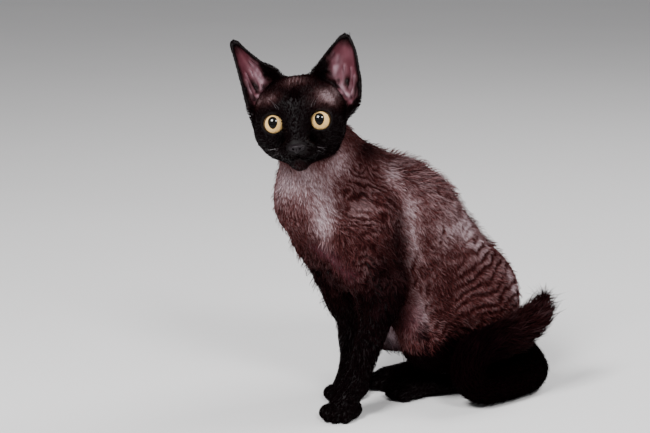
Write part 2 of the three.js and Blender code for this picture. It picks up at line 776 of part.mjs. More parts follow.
const TAIL_PARTS = {
  tail_base: [0, 0.24],
  tail_middle: [0.24, 0.46],
  tail_bend: [0.46, 0.68],
  tail_tip: [0.68, 1],
};
let trunkRoom = solid(swollen(trunkSkin, catFlesh, GAP));
for (const clump of CLUMPS) trunkRoom = trunkRoom.add(clumpAt(clump, GAP));
const tailLength = TAIL_PATH.getLength();
for (const [name, [from, to]] of Object.entries(TAIL_PARTS)) {
  const inset = GAP / 2 / tailLength;
  const [sections, sides] = name === "tail_tip" ? [4, 8] : [8, 12];
  let part = solid(tail.length(from + inset, to - inset, sections, sides));
  if (name === "tail_tip") for (const lock of brushLocks()) part = part.add(lock);
  part = part.intersect(above).subtract(trunkRoom);
  for (const room of footRoom) part = part.subtract(room);
  addNode(cat, name, part, DARK);
}

// Head, in its own frame
const intoHead = headFrame.clone().invert();
const headFlesh = inFrame(catFlesh, headFrame);
const headCut = {
  point: HEAD_CUT.point.clone().applyMatrix4(intoHead),
  normal: HEAD_CUT.normal.clone().applyQuaternion(HEAD.turn.clone().invert()),
};
const FACE_CELL = 4.2;
const SKULL_CELL = 6.4;
const headSkin = surfaceOf(headFlesh, [
  ruled(-54, [-20, SKULL_CELL], [20, FACE_CELL], [54, SKULL_CELL]),
  ruled(-58, [-14, FACE_CELL], [62, SKULL_CELL]),
  ruled(-62, [-44, SKULL_CELL], [-12, FACE_CELL], [54, SKULL_CELL]),
]);
const headRoom = solid(swollen(headSkin, headFlesh, GAP));

function sphereSolid(centre, radius, across = 14, down = 8) {
  return solid(new THREE.SphereGeometry(radius, across, down).rotateX(-Math.PI / 2).translate(...centre));
}
// The opening between the lids: a round of slightly slanted almond form.
const LID_OPENING = { width: 8.7, height: 8.0, slant: 8 };
function lidOpening(side) {
  const round = new THREE.CylinderGeometry(0.95, 1.05, 24, 20, 1).translate(0, -12, 0);
  round.scale(LID_OPENING.width, 1, LID_OPENING.height);
  round.rotateY(radians(-side * LID_OPENING.slant)).rotateZ(radians(side * 6));
  return solid(round.translate(...eyeCentre(side)));
}

const nose = { centre: V(0, -41.4, -23.5), half: V(5.6, 4.6, 4.2) };
const noseForm = blend(
  2,
  egg(nose.centre, nose.half),
  ...BOTH.map((s) => egg(V(s * 3.6, -40.2, -24.5), V(2.9, 3.6, 3))),
);
const noseSkin = surfaceOf(noseForm, evenGrid(V(-9, -49, -32), V(9, -33, -16), 1.9));
function nostril(side) {
  const curl = new THREE.CatmullRomCurve3([
    V(side * 2.2, -48, -25),
    V(side * 2.9, -43.7, -24.8),
    V(side * 4.6, -41.8, -24.2),
  ]);
  return solid(new Tube(curl, () => 1.15).length(0, 1, 4, 8));
}

// Mouth: seen from the front the lips meet along this line, which the jaw's top follows.
const MOUTH = { middle: -31.4, pad: -33.4, corner: -30, halfWidth: 12.5, gap: 0.8, rear: -12 };
function jawRegion(margin, lift) {
  const side = MOUTH.halfWidth + margin;
  const line = new THREE.Shape();
  line.moveTo(-side, -80);
  line.lineTo(side, -80);
  line.lineTo(side, MOUTH.corner + lift);
  line.quadraticCurveTo(8, MOUTH.pad + lift - 1.2, 4.5, MOUTH.pad + lift);
  line.quadraticCurveTo(1.2, MOUTH.middle + lift - 0.8, 0, MOUTH.middle + lift);
  line.quadraticCurveTo(-1.2, MOUTH.middle + lift - 0.8, -4.5, MOUTH.pad + lift);
  line.quadraticCurveTo(-8, MOUTH.pad + lift - 1.2, -side, MOUTH.corner + lift);
  const depth = 60 + margin;
  const region = new THREE.ExtrudeGeometry(line, { depth, bevelEnabled: false, curveSegments: 3 });
  // The outline's up becomes the head's up, and its depth runs forward past the nose.
  return solid(region.rotateX(Math.PI / 2).translate(0, MOUTH.rear + margin, 0));
}

let headPart = solid(headSkin).intersect(before(headCut));
for (const side of BOTH) headPart = headPart.add(sphereSolid(eyeCentre(side), EYE_RADIUS + GAP + LID));
for (const side of BOTH) {
  headPart = headPart.subtract(sphereSolid(eyeCentre(side), EYE_RADIUS + GAP)).subtract(lidOpening(side));
}
headPart = headPart.subtract(solid(swollen(noseSkin, noseForm, GAP)));
addNode(head, "head", headPart.subtract(jawRegion(GAP, MOUTH.gap)), DARK);
addNode(head, "lower_jaw", headPart.intersect(jawRegion(0, 0)), DARK);
addNode(head, "nose", BOTH.reduce((part, side) => part.subtract(nostril(side)), solid(noseSkin)), LEATHER);
BOTH.forEach((side) => {
  const name = side > 0 ? "left" : "right";
  addNode(head, `eye_${name}`, sphereSolid(eyeCentre(side), EYE_RADIUS), IRIS);
});

// Ears: cupped sheets between an inner and an outer edge, open to the front and side
const EARS = [
  {
    side: "left",
    inner: [V(9, 4, 28), V(16, 3, 40), V(29, 3, 55), V(41, 5, 65)],
    outer: [V(35, -4, -5), V(46.5, -5, 10), V(49.5, -2, 34), V(48.5, 2, 52), V(43.5, 5, 64.5)],
  },
  {
    side: "right",
    inner: [V(-9, 5, 30), V(-17, 4, 43), V(-31, 5, 53.5), V(-49.5, 9, 67.5)],
    outer: [V(-34, -2, -4), V(-41, -3, 14), V(-45, 1, 34), V(-49, 6, 52), V(-52, 9, 67)],
  },
];
const EAR_CUP = 19; // how far the sheet bulges back between its edges at the base
function ear({ inner: innerPoints, outer: outerPoints }) {
  const inner = new THREE.CatmullRomCurve3(innerPoints);
  const outer = new THREE.CatmullRomCurve3(outerPoints);
  const across = 7;
  const up = 8;
  const front = (u, v) => {
    const point = inner.getPointAt(v).lerp(outer.getPointAt(v), u);
    point.y += EAR_CUP * (1 - v) ** 0.6 * Math.sin(Math.PI * u) ** 0.8;
    return point;
  };
  const back = (u, v) => {
    const e = 0.02;
    const du = front(Math.min(1, u + e), v).sub(front(Math.max(0, u - e), v));
    const dv = front(u, Math.min(1, v + e)).sub(front(u, Math.max(0, v - e)));
    const normal = du.cross(dv).normalize();
    if (normal.y < 0) normal.negate();
    const thickness = EAR_THICKNESS * mix(0.6, 1, Math.sin(Math.PI * u)) * mix(1, 0.7, v);
    return front(u, v).addScaledVector(normal, thickness);
  };
  const positions = [];
  for (const sheet of [front, back]) {
    for (let j = 0; j <= up; j++) {
      for (let i = 0; i <= across; i++) positions.push(...sheet(i / across, j / up));
    }
  }
  const indices = [];
  const at = (sheet, i, j) => sheet * (across + 1) * (up + 1) + j * (across + 1) + i;
  const quad = (a, b, c, d) => indices.push(a, b, c, a, c, d);
  for (let j = 0; j < up; j++) {
    for (let i = 0; i < across; i++) {
      quad(at(0, i, j), at(0, i + 1, j), at(0, i + 1, j + 1), at(0, i, j + 1));
      quad(at(1, i, j), at(1, i, j + 1), at(1, i + 1, j + 1), at(1, i + 1, j));
    }
    quad(at(0, 0, j), at(0, 0, j + 1), at(1, 0, j + 1), at(1, 0, j));
    quad(at(0, across, j), at(1, across, j), at(1, across, j + 1), at(0, across, j + 1));
  }
  for (let i = 0; i < across; i++) {
    quad(at(0, i, 0), at(1, i, 0), at(1, i + 1, 0), at(0, i + 1, 0));
    quad(at(0, i, up), at(0, i + 1, up), at(1, i + 1, up), at(1, i, up));
  }
  return closedOut(positions, indices);
}
for (const form of EARS) addNode(head, `ear_${form.side}`, solid(ear(form)).subtract(headRoom), DARK);

// The row's origin: the middle of the cat's outline, on the floor
const middle = new THREE.Box3().setFromObject(cat, true).getCenter(V(0, 0, 0));
cat.position.set(-middle.x, -middle.y, 0);

export default cat;
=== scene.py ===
"""A young devon rex cat sitting on a floor, life size: its skin, coat, eyes, nose and whiskers."""

import logging
import math
from concurrent.futures import ThreadPoolExecutor
from dataclasses import dataclass
from enum import Enum
from typing import Callable, Iterable, Sequence

import bpy
import numpy as np
from mathutils import Matrix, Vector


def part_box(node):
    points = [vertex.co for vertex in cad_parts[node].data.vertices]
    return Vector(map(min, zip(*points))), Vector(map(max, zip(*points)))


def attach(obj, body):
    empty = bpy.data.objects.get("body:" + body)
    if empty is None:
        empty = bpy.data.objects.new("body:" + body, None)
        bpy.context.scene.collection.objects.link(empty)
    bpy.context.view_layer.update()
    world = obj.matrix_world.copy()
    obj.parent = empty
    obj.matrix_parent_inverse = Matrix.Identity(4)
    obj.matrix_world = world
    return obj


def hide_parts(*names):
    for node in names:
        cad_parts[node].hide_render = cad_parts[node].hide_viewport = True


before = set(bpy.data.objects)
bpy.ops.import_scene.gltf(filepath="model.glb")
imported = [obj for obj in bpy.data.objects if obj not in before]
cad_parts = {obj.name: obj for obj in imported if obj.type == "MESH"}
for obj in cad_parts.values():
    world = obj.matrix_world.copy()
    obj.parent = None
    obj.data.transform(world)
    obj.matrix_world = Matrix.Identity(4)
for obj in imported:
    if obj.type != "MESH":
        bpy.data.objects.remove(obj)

log = logging.getLogger("cat")
Array = np.ndarray
Triple = tuple[float, float, float]
Field = Callable[[Array], Array]
Material = bpy.types.Material
Piece = bpy.types.Object
MM = 0.001  # the forms below are in millimetres, +Z up, -Y forward, +X to the cat's left
BOTH = (1, -1)  # the cat's left, then its right
EYE_NODES = ((1, "eye_left"), (-1, "eye_right"))
LIMB_NODES = (  # of one side
    "foreleg_{}_upper", "foreleg_{}_lower", "forepaw_{}", "thigh_{}", "hindfoot_{}",
)


# Forms of the body: distances to smooth solids


def smooth_min(a: Array, b: Array, fillet: float | Array) -> Array:
    """Return the distances to both of two forms, joined with a fillet about as wide as given."""
    h = np.maximum(fillet - np.abs(a - b), 0.0) / fillet
    return np.minimum(a, b) - h * h * fillet / 4.0


def smooth_max(a: Array, b: Array, fillet: float) -> Array:
    """Return the distances to what two forms share, with an edge about as round as given."""
    return -smooth_min(-a, -b, fillet)


def turned(yaw: float = 0.0, pitch: float = 0.0, roll: float = 0.0) -> Array:
    """Make a turn from three angles.

    Args:
        yaw: Degrees toward the cat's left.
        pitch: Degrees nose up.
        roll: Degrees crown to the cat's right.

    Returns:
        A 3 by 3 matrix whose columns are the turned axes.
    """
    a, b, c = (math.radians(v) for v in (yaw, -pitch, -roll))
    about_z = np.array([[math.cos(a), -math.sin(a), 0], [math.sin(a), math.cos(a), 0], [0, 0, 1]])
    about_x = np.array([[1, 0, 0], [0, math.cos(b), -math.sin(b)], [0, math.sin(b), math.cos(b)]])
    about_y = np.array([[math.cos(c), 0, math.sin(c)], [0, 1, 0], [-math.sin(c), 0, math.cos(c)]])
    return about_z @ about_x @ about_y


@dataclass(frozen=True)
class Bone:
    """A limb between two joints with its own radius at each."""

    start: Triple
    end: Triple
    start_radius: float
    end_radius: float
    width: float = 1.0

    def __call__(self, p: Array) -> Array:
        """Measure points against this form.

        Args:
            p: The points.

        Returns:
            Distances, below 0 inside.
        """
        along = np.subtract(self.end, self.start)
        q = p - self.start
        along[0] /= self.width
        q[:, 0] /= self.width
        t = np.clip(q @ along / (along @ along), 0.0, 1.0)
        q -= t[:, None] * along
        radius = self.start_radius + (self.end_radius - self.start_radius) * t
        return (np.sqrt(np.einsum("ij,ij->i", q, q)) - radius) * min(1.0, self.width)


@dataclass(frozen=True)
class Egg:
    """An egg with three half sizes."""

    centre: Triple
    half: Triple
    turn: tuple[float, float, float] = (0.0, 0.0, 0.0)

    def __call__(self, p: Array) -> Array:
        """Measure points against this form.

        Args:
            p: The points.

        Returns:
            Distances, below 0 inside.
        """
        half = np.asarray(self.half)
        q = (p - self.centre) @ turned(*self.turn) / half
        k = np.sqrt(np.einsum("ij,ij->i", q, q))
        q /= half
        g = np.sqrt(np.einsum("ij,ij->i", q, q))
        return np.where(g < 1e-9, -half.min(), k * (k - 1.0) / np.maximum(g, 1e-9))


def blend(fillet: float, forms: Iterable[Field]) -> Field:
    """Join forms one after another.

    Args:
        fillet: The fillet between each form and those before it.
        forms: The forms to join.

    Returns:
        The joined form.
    """
    listed = list(forms)

    def joined(p: Array) -> Array:
        """Return the distances of points to the joined form."""
        d = listed[0](p)
        for form in listed[1:]:
            d = smooth_min(d, form(p), fillet)
        return d

    return joined


def within(form: Field, low: Triple, high: Triple, margin: float = 16.0) -> Field:
    """Read a form only near its own box, to save time.

    Args:
        form: The form.
        low: The box's lowest corner.
        high: The box's highest corner.
        margin: How far round the box the form matters.

    Returns:
        The form, given by its box's distance further away.
    """
    middle = np.add(low, high) / 2.0
    half = np.subtract(high, low) / 2.0

    def trimmed(p: Array) -> Array:
        """Measure points against the form.

        Args:
            p: The points.

        Returns:
            Distances, exact only near the form.
        """
        outside = np.maximum(np.abs(p - middle) - half, 0.0)
        d = np.sqrt(np.einsum("ij,ij->i", outside, outside)) + 1.0
        close = d < margin + 1.0
        if close.any():
            d[close] = form(p[close])
        return d

    return trimmed


def slope(form: Field, p: Array, step: float = 0.3, here: Array | None = None) -> Array:
    """Return the way out of a form at points, read a step apart, where its values may be known."""
    base = form(p) if here is None else here
    return np.stack([form(p + a) - base for a in np.eye(3) * step], axis=1) / step


def lengths(v: Array) -> Array:
    """Return the lengths of vectors."""
    return np.linalg.norm(v, axis=1)


def clamp(v: Array) -> Array:
    """Return numbers kept between 0 and 1."""
    return np.clip(v, 0, 1)


def unit(v: Array) -> Array:
    """Return vectors scaled to a length of one."""
    return v / np.maximum(np.linalg.norm(v, axis=-1, keepdims=True), 1e-9)


def hill(centre: Sequence[float], half: Sequence[float], *axes: Array) -> Array:
    """Read a soft hill that is 1 at its centre.

    Args:
        centre: Its middle on each axis.
        half: How far along each axis it has fallen to about a third.
        axes: The points' coordinates, one array an axis.

    Returns:
        The hill's height at each point.
    """
    fall = 0.0
    for middle, breadth, place in zip(centre, half, axes):
        fall = fall - ((place - middle) / breadth) ** 2
    return np.exp(fall)


def smooth_curve(points: Sequence[Triple], steps: int) -> tuple[Array, Array]:
    """Run a smooth curve through points.

    Args:
        points: The points.
        steps: How many places are laid between one point and the next.

    Returns:
        Places close together on the curve, and how far along it each of them lies.
    """
    p = np.asarray(points, float)
    ends = np.vstack([2 * p[0] - p[1], p, 2 * p[-1] - p[-2]])
    t = np.linspace(0, 1, steps)[:, None]
    run = np.vstack([
        0.5 * (2 * b + (c - a) * t + (2 * a - 5 * b + 4 * c - d) * t**2 + (3 * b - a - 3 * c + d) * t**3)
        for a, b, c, d in zip(ends, ends[1:], ends[2:], ends[3:])
    ])
    return run, np.concatenate([[0], np.cumsum(lengths(np.diff(run, axis=0)))])


def between(rows: Array, places: Array, at: Array) -> Array:
    """Read rows of three numbers, each kept at its own place, at places between them."""
    return np.stack([np.interp(at, places, rows[:, i]) for i in range(3)], axis=1)


def compared(p: Array, marks: Array) -> Array:
    """Return squared distances from points to marks, less each point's own squared length."""
    return (marks**2).sum(1)[None, :] - 2.0 * p @ marks.T


class Noise:
    """Smooth noise in space that is the same each run."""

    def __init__(self, seed: int) -> None:
        """Draw the noise's table from a seed."""
        self.table = np.random.default_rng(seed).random((32, 32, 32))

    def __call__(self, p: Array, size: float) -> Array:
        """Read the noise.

        Args:
            p: The points.
            size: About how far apart its hills are.

        Returns:
            Values from -1 to 1.
        """
        q = p / size
        low = np.floor(q).astype(int)
        f = q - low
        f = f * f * (3.0 - 2.0 * f)
        total = np.zeros(len(p))
        for corner in range(8):
            bits = np.array([corner & 1, (corner >> 1) & 1, (corner >> 2) & 1])
            i, j, k = ((low + bits) & 31).T
            weight = np.prod(np.where(bits, f, 1.0 - f), axis=1)
            total += weight * self.table[i, j, k]
        return 2.0 * total - 1.0


@dataclass
class Leg:
    """The joints of a foreleg and a hind leg on one side."""

    blade: Triple
    shoulder: Triple
    elbow: Triple
    wrist: Triple
    paw: Triple
    paw_yaw: float
    hip: Triple
    knee: Triple
    hock: Triple
    toes: Triple
    full: float  # how far the curls in front of the elbow fill it out


LEGS = (
    Leg((26, 48, 186), (34, 0, 152), (42, 31, 108), (42, 0, 28), (40, -12, 0), 22,
        (38, 136, 74), (45, 74, 54), (38, 132, 13), (24, 67, 0), 13),
    Leg((-22, 50, 184), (-30, 6, 148), (-22, 34, 98), (-7, 29, 28), (-4, 20, 0), 20,
        (-16, 138, 74), (-22, 78, 54), (-20, 134, 13), (-14, 67, 0), 9),
)


@dataclass
class Head:
    """The head in its own frame: -Y to the nose, +X to the cat's left, +Z to the crown."""

    centre: Triple = (24, -44, 259)
    turn: tuple[float, float, float] = (53, 9, 5.3)
    eye_across: float = 18.8
    eye_forward: float = 17.6
    eye_up: float = -3.0
    eye_radius: float = 10.4
    lid: float = 1.25
    coat: float = 0.6  # how far the skin lies inside the solid

    def __post_init__(self) -> None:
        """Work out the turn and the joined form."""
        self.axes = turned(*self.turn)
        c = self.coat
        self.form = blend(6, [
            Egg((0, 6, 6), (37.5 - c, 38 - c, 29.5 - c)),
            *[Egg((s * 21, -3, -8), (17 - c, 22 - c, 20 - c)) for s in BOTH],
            Bone((0, -16, 8), (0, -31, -16), 17 - c, 9.5 - c),
            *[Egg((s * 7.5, -32.5, -26), (8.5 - c, 9 - c, 7.5 - c)) for s in BOTH],
            Egg((0, -37, -22), (7 - c, 6 - c, 5.5 - c)),
            Egg((0, -28, -35.5), (6 - c, 6 - c, 6 - c)),
            *[Egg((s * 17, -19, 10), (13 - c, 8 - c, 7 - c), (s * 25, 0, 0)) for s in BOTH],
            *[Bone((s * 18, 2, -21), (0, -23, -33), 12 - c, 7.5 - c) for s in BOTH],
        ])

    def into(self, p: Array) -> Array:
        """Return points of the cat's frame in the head's."""
        return (p - self.centre) @ self.axes

    def out(self, p: Array) -> Array:
        """Return points of the head's frame in the cat's."""
        return p @ self.axes.T + self.centre

    def eye(self, side: int) -> Array:
        """Return an eye's centre in the head's frame."""
        return np.array([side * self.eye_across, -self.eye_forward, self.eye_up])

    def opening(self, q: Array, side: int) -> Array:
        """Measure points against the opening between the lids.

        Args:
            q: Points in the head's frame.
            side: 1 for the cat's left eye, -1 for its right.

        Returns:
            Distances to the opening's rim, below 0 inside it.
        """
        local = (q - self.eye(side)) @ turned(0, 0, side * 8) @ turned(side * 5, 0, 0)
        x, z = side * local[:, 0], local[:, 2]
        round_part = (np.hypot(x / 8.5, (z + 0.2) / 7.9) - 1.0) * 7.9
        corner = Bone((-6.0, 0, -2.6), (-9.6, 0, -5.0), 2.2, 0.5)
        tear = corner(np.stack([x, np.zeros_like(x), z], axis=1))
        return np.maximum(smooth_min(round_part, tear, 2.0), local[:, 1])

    def mouth_line(self, x: Array) -> Array:
        """Return the height of the line where the lips meet, across the mouth."""
        across = np.abs(x)
        return np.interp(across, [0, 1.5, 4.5, 8, 12.5, 15], [-31.0, -32.3, -33.1, -32.6, -30.2, -28.6])

    def face(self, q: Array, ears: Field) -> Array:
        """Measure points against the whole head with its lids, mouth and ears.

        Args:
            q: Points in the head's frame.
            ears: The ears' form in the same frame.

        Returns:
            Distances to the head's skin.
        """
        d = self.form(q)
        plain = d
        furrow = hill((0, -12, 32), (11, 12, 9), *q.T)
        d = d + 0.45 * furrow * np.cos(q[:, 0] * 2 * math.pi / 3.6)
        for side in BOTH:
            away = lengths(q - self.eye(side))
            pouch = lengths(q - self.eye(side) - (side * -2.0, -1.0, -9.5))
            d = smooth_min(d, away - (self.eye_radius + self.lid), 3.5)
            d = d - 0.5 * np.exp(-((pouch / 4.5) ** 2))
        d = smooth_min(d, ears(q), 4.0)
        for side in BOTH:
            away = lengths(q - self.eye(side))
            d = smooth_max(d, self.eye_radius + 0.12 - away, 0.3)
            d = smooth_max(d, -self.opening(q, side), 0.7)
        x, y, z = q.T
        lips = np.abs(z - self.mouth_line(x)) - 0.3
        lips = np.maximum.reduce([lips, -(plain + 1.4), np.abs(x) - 12.5, y + 14])
        philtrum = np.maximum.reduce([np.abs(x) - 0.35, -(plain + 1.1), -32 - z, z + 26, y + 30])
        d = smooth_max(d, -lips, 1.1)
        return smooth_max(d, -philtrum, 0.9)


@dataclass
class EarEdges:
    """An ear's inner and outer edges, in the head's frame."""

    side: int
    inner: Sequence[Triple]
    outer: Sequence[Triple]


@dataclass
class Ear:
    """A cupped sheet between its two edges, open to the front and side."""

    edges: EarEdges
    cup: float = 19.0
    thickness: float = 2.6
    set_back: float = 0.9  # the solid is thickened backward, so the sheet's middle lies behind its front
    rows: int = 61
    span: tuple[float, float] = (38.0, 58.0)  # about how broad and high the sheet is, to place its folds
    exact_within: float = 10.0  # how near the sheet it is measured exactly
    ridges = (  # each fold's ends across and up the sheet, its breadth and its height
        ((0.18, 0.37), (0.50, 0.30), 1.9, 2.3), ((0.50, 0.30), (0.76, 0.25), 1.7, 2.8),
        ((0.55, 0.56), (0.62, 0.34), 1.4, 2.0), ((0.28, 0.64), (0.36, 0.40), 2.2, 1.1),
        ((0.86, 0.29), (0.89, 0.50), 1.5, 2.4), ((0.97, 0.24), (0.98, 0.44), 1.5, 1.8),
        ((0.08, 0.28), (0.10, 0.66), 1.6, 1.0), ((0.74, 0.33), (0.79, 0.58), 1.2, 1.5),
        ((0.67, 0.40), (0.69, 0.36), 2.6, -0.9),
    )

    def __post_init__(self) -> None:
        """Lay out the sheet from its edges."""
        inner = self._curve(self.edges.inner)
        outer = self._curve(self.edges.outer)
        u = np.linspace(0, 1, self.rows)[None, :]
        v = np.linspace(0, 1, self.rows)[:, None]
        sheet = inner[:, None, :] * (1 - u[..., None]) + outer[:, None, :] * u[..., None]
        sheet[..., 1] += self.cup * (1 - v) ** 0.6 * np.sin(np.pi * u) ** 0.8
        normal = unit(np.cross(np.gradient(sheet, axis=1), np.gradient(sheet, axis=0)))
        normal[normal[..., 1] < 0] *= -1  # out of the back of the ear
        self.normal = unit(normal)
        self.sheet = sheet + self.normal * self.set_back
        self.run_u = np.gradient(self.sheet, axis=1) * (self.rows - 1)
        self.run_v = np.gradient(self.sheet, axis=0) * (self.rows - 1)
        self.form = within(self._form, self.sheet.min((0, 1)) - 2, self.sheet.max((0, 1)) + 2, 5.0)

    def _curve(self, points: Sequence[Triple]) -> Array:
        """Return a smooth curve through points, at even steps along its length."""
        run, length = smooth_curve(points, steps=40)
        return between(run, length, np.linspace(0, length[-1], self.rows))

    def at(self, u: Array, v: Array, table: Array) -> Array:
        """Read a table of the sheet between its rows.

        Args:
            u: Places across the sheet, from 0 to 1.
            v: Places up it.
            table: The table.

        Returns:
            Its values at the places.
        """
        n = self.rows - 1
        x = clamp(u) * n
        y = clamp(v) * n
        i = np.minimum(x.astype(int), n - 1)
        j = np.minimum(y.astype(int), n - 1)
        fx = (x - i)[:, None]
        fy = (y - j)[:, None]
        low = table[j, i] * (1 - fx) + table[j, i + 1] * fx
        high = table[j + 1, i] * (1 - fx) + table[j + 1, i + 1] * fx
        return low * (1 - fy) + high * fy

    def nearest(self, q: Array) -> tuple[Array, Array, Array]:
        """Find the nearest place on the sheet.

        Args:
            q: Points in the head's frame.

        Returns:
            Places across and up the sheet, and signed distances, above 0 behind the ear.
        """
        step = 5
        coarse = self.sheet[::step, ::step].reshape(-1, 3)
        across = len(range(0, self.rows, step))
        best = compared(q, coarse).argmin(1)
        u = (best % across) * step / (self.rows - 1.0)
        v = (best // across) * step / (self.rows - 1.0)
        for _ in range(3):
            here = self.at(u, v, self.sheet)
            du = self.at(u, v, self.run_u)
            dv = self.at(u, v, self.run_v)
            off = q - here
            a, b, c = (du * du).sum(1), (du * dv).sum(1), (dv * dv).sum(1)
            g, h = (du * off).sum(1), (dv * off).sum(1)
            det = np.maximum(a * c - b * b, 1e-6)
            u = clamp(u + np.clip((c * g - b * h) / det, -0.1, 0.1))
            v = clamp(v + np.clip((a * h - b * g) / det, -0.1, 0.1))
        off = q - self.at(u, v, self.sheet)
        behind = np.sign((off * self.at(u, v, self.normal)).sum(1))
        return u, v, behind * lengths(off)

    def folds(self, u: Array, v: Array) -> Array:
        """Measure the folds low in the cup.

        Args:
            u: Places across the sheet.
            v: Places up it.

        Returns:
            How far the folds stand up from it there.
        """
        high = np.zeros(len(u))
        place = np.stack([u, v], axis=1) * self.span
        for low, top, width, height in self.ridges:
            start = np.array(low) * self.span
            run = np.array(top) * self.span - start
            t = clamp(((place - start) @ run) / (run @ run))
            away = lengths(place - start - t[:, None] * run)
            high += height * np.exp(-((away / width) ** 2)) * (0.75 + 0.25 * np.cos(6 * t))
        return high

    def _form(self, q: Array) -> Array:
        """Measure points against the ear with its folds.

        Args:
            q: Points in the head's frame.

        Returns:
            Distances, below 0 inside.
        """
        step = 6
        apart = compared(q, self.sheet[::step, ::step].reshape(-1, 3))
        d = np.sqrt(np.maximum(apart.min(1) + (q * q).sum(1), 0.0))
        close = np.flatnonzero(d < self.exact_within)
        if len(close):
            u, v, apart = self.nearest(q[close])
            half = self.thickness / 2 * (0.78 + 0.22 * np.sin(np.pi * u)) * (1 - 0.2 * v)
            half = half * (1 + 0.7 * clamp((v - 0.84) / 0.1))
            ridges = self.folds(u, v)
            front = apart < 0
            d[close] = np.where(front, -apart - half - ridges, apart - half)
        tip = self.sheet[-1].mean(0)
        return smooth_min(d, lengths(q - tip + 1.9 * unit(tip)) - 1.3, 1.6)


EARS = (
    EarEdges(1, [(9, 4, 28), (16.5, 3, 39), (29.5, 3, 54), (41, 5, 64.5)],
             [(36, -4, -5), (48.5, -5, 9), (51.5, -3, 24), (50.5, -1, 38), (48.5, 2, 52), (43.5, 5, 64.5)]),
    EarEdges(-1, [(-9, 5, 30), (-17, 4, 40), (-31, 5, 49.5), (-49.5, 9, 67)],
             [(-34, -2, -4), (-41, -3, 14), (-45, 1, 34), (-49, 6, 52), (-52, 9, 67)]),
)


@dataclass
class Tail:
    """The tail: from the rump round the left hip, along the floor, then back over itself."""

    path = ((12, 158, 46), (26, 182, 30), (50, 182, 18), (66, 166, 16), (73, 140, 16), (77, 114, 17),
            (79, 98, 23), (80, 91, 37), (81, 98, 51), (82, 115, 57), (82, 138, 62), (82, 163, 76),
            (78, 173, 90))
    radii = (  # at shares of the length; below 0 no skin is left, and only the brush's hairs run on
        (0, 14), (0.3, 13.5), (0.55, 12.5), (0.7, 11.5), (0.8, 10.5), (0.88, 10), (0.93, 8.5), (0.96, 5),
        (0.98, -2), (1, -9),
    )
    brush: float = 0.56  # share of the length where the brush starts
    steps: int = 48

    def __post_init__(self) -> None:
        """Lay out the tail's middle line at even steps."""
        run, length = smooth_curve(self.path, steps=30)
        share = np.linspace(0, 1, self.steps + 1)
        self.points = between(run, length, share * length[-1])
        shares, values = zip(*self.radii)
        self.radius = np.interp(share, shares, values)
        self.along = unit(np.gradient(self.points, axis=0))
        room = self.radius.max()
        self.form = within(lambda p: self.nearest(p)[1], self.points.min(0) - room, self.points.max(0) + room)

    def nearest(self, p: Array) -> tuple[Array, Array]:
        """Find the nearest place along the tail.

        Args:
            p: The points.

        Returns:
            Shares of the tail's length, and distances to its surface.
        """
        apart = compared(p, self.points) + (p * p).sum(1)[:, None]
        apart = np.sqrt(np.maximum(apart, 0.0)) - self.radius[None, :]
        middle = np.clip(apart.argmin(1), 1, self.steps - 1)
        best = np.full(len(p), 1e9)
        share = np.zeros(len(p))
        for start in (middle - 1, middle):
            a = self.points[start]
            run = self.points[start + 1] - a
            q = p - a
            t = clamp((q * run).sum(1) / (run * run).sum(1))
            radius = self.radius[start] + (self.radius[start + 1] - self.radius[start]) * t
            d = lengths(q - t[:, None] * run) - radius
            closer = d < best
            best[closer] = d[closer]
            share[closer] = ((start + t) / self.steps)[closer]
        return share, best

    def direction(self, share: Array) -> Array:
        """Return the way the tail runs at shares of its length."""
        return unit(between(self.along, np.arange(self.steps + 1), share * self.steps))


class Region(Enum):
    """The parts of the body that differ in coat."""

    HEAD, EAR, NECK, TRUNK, SHOULDER, FORELEG, FOREPAW, THIGH, HINDFOOT, TAIL = range(10)


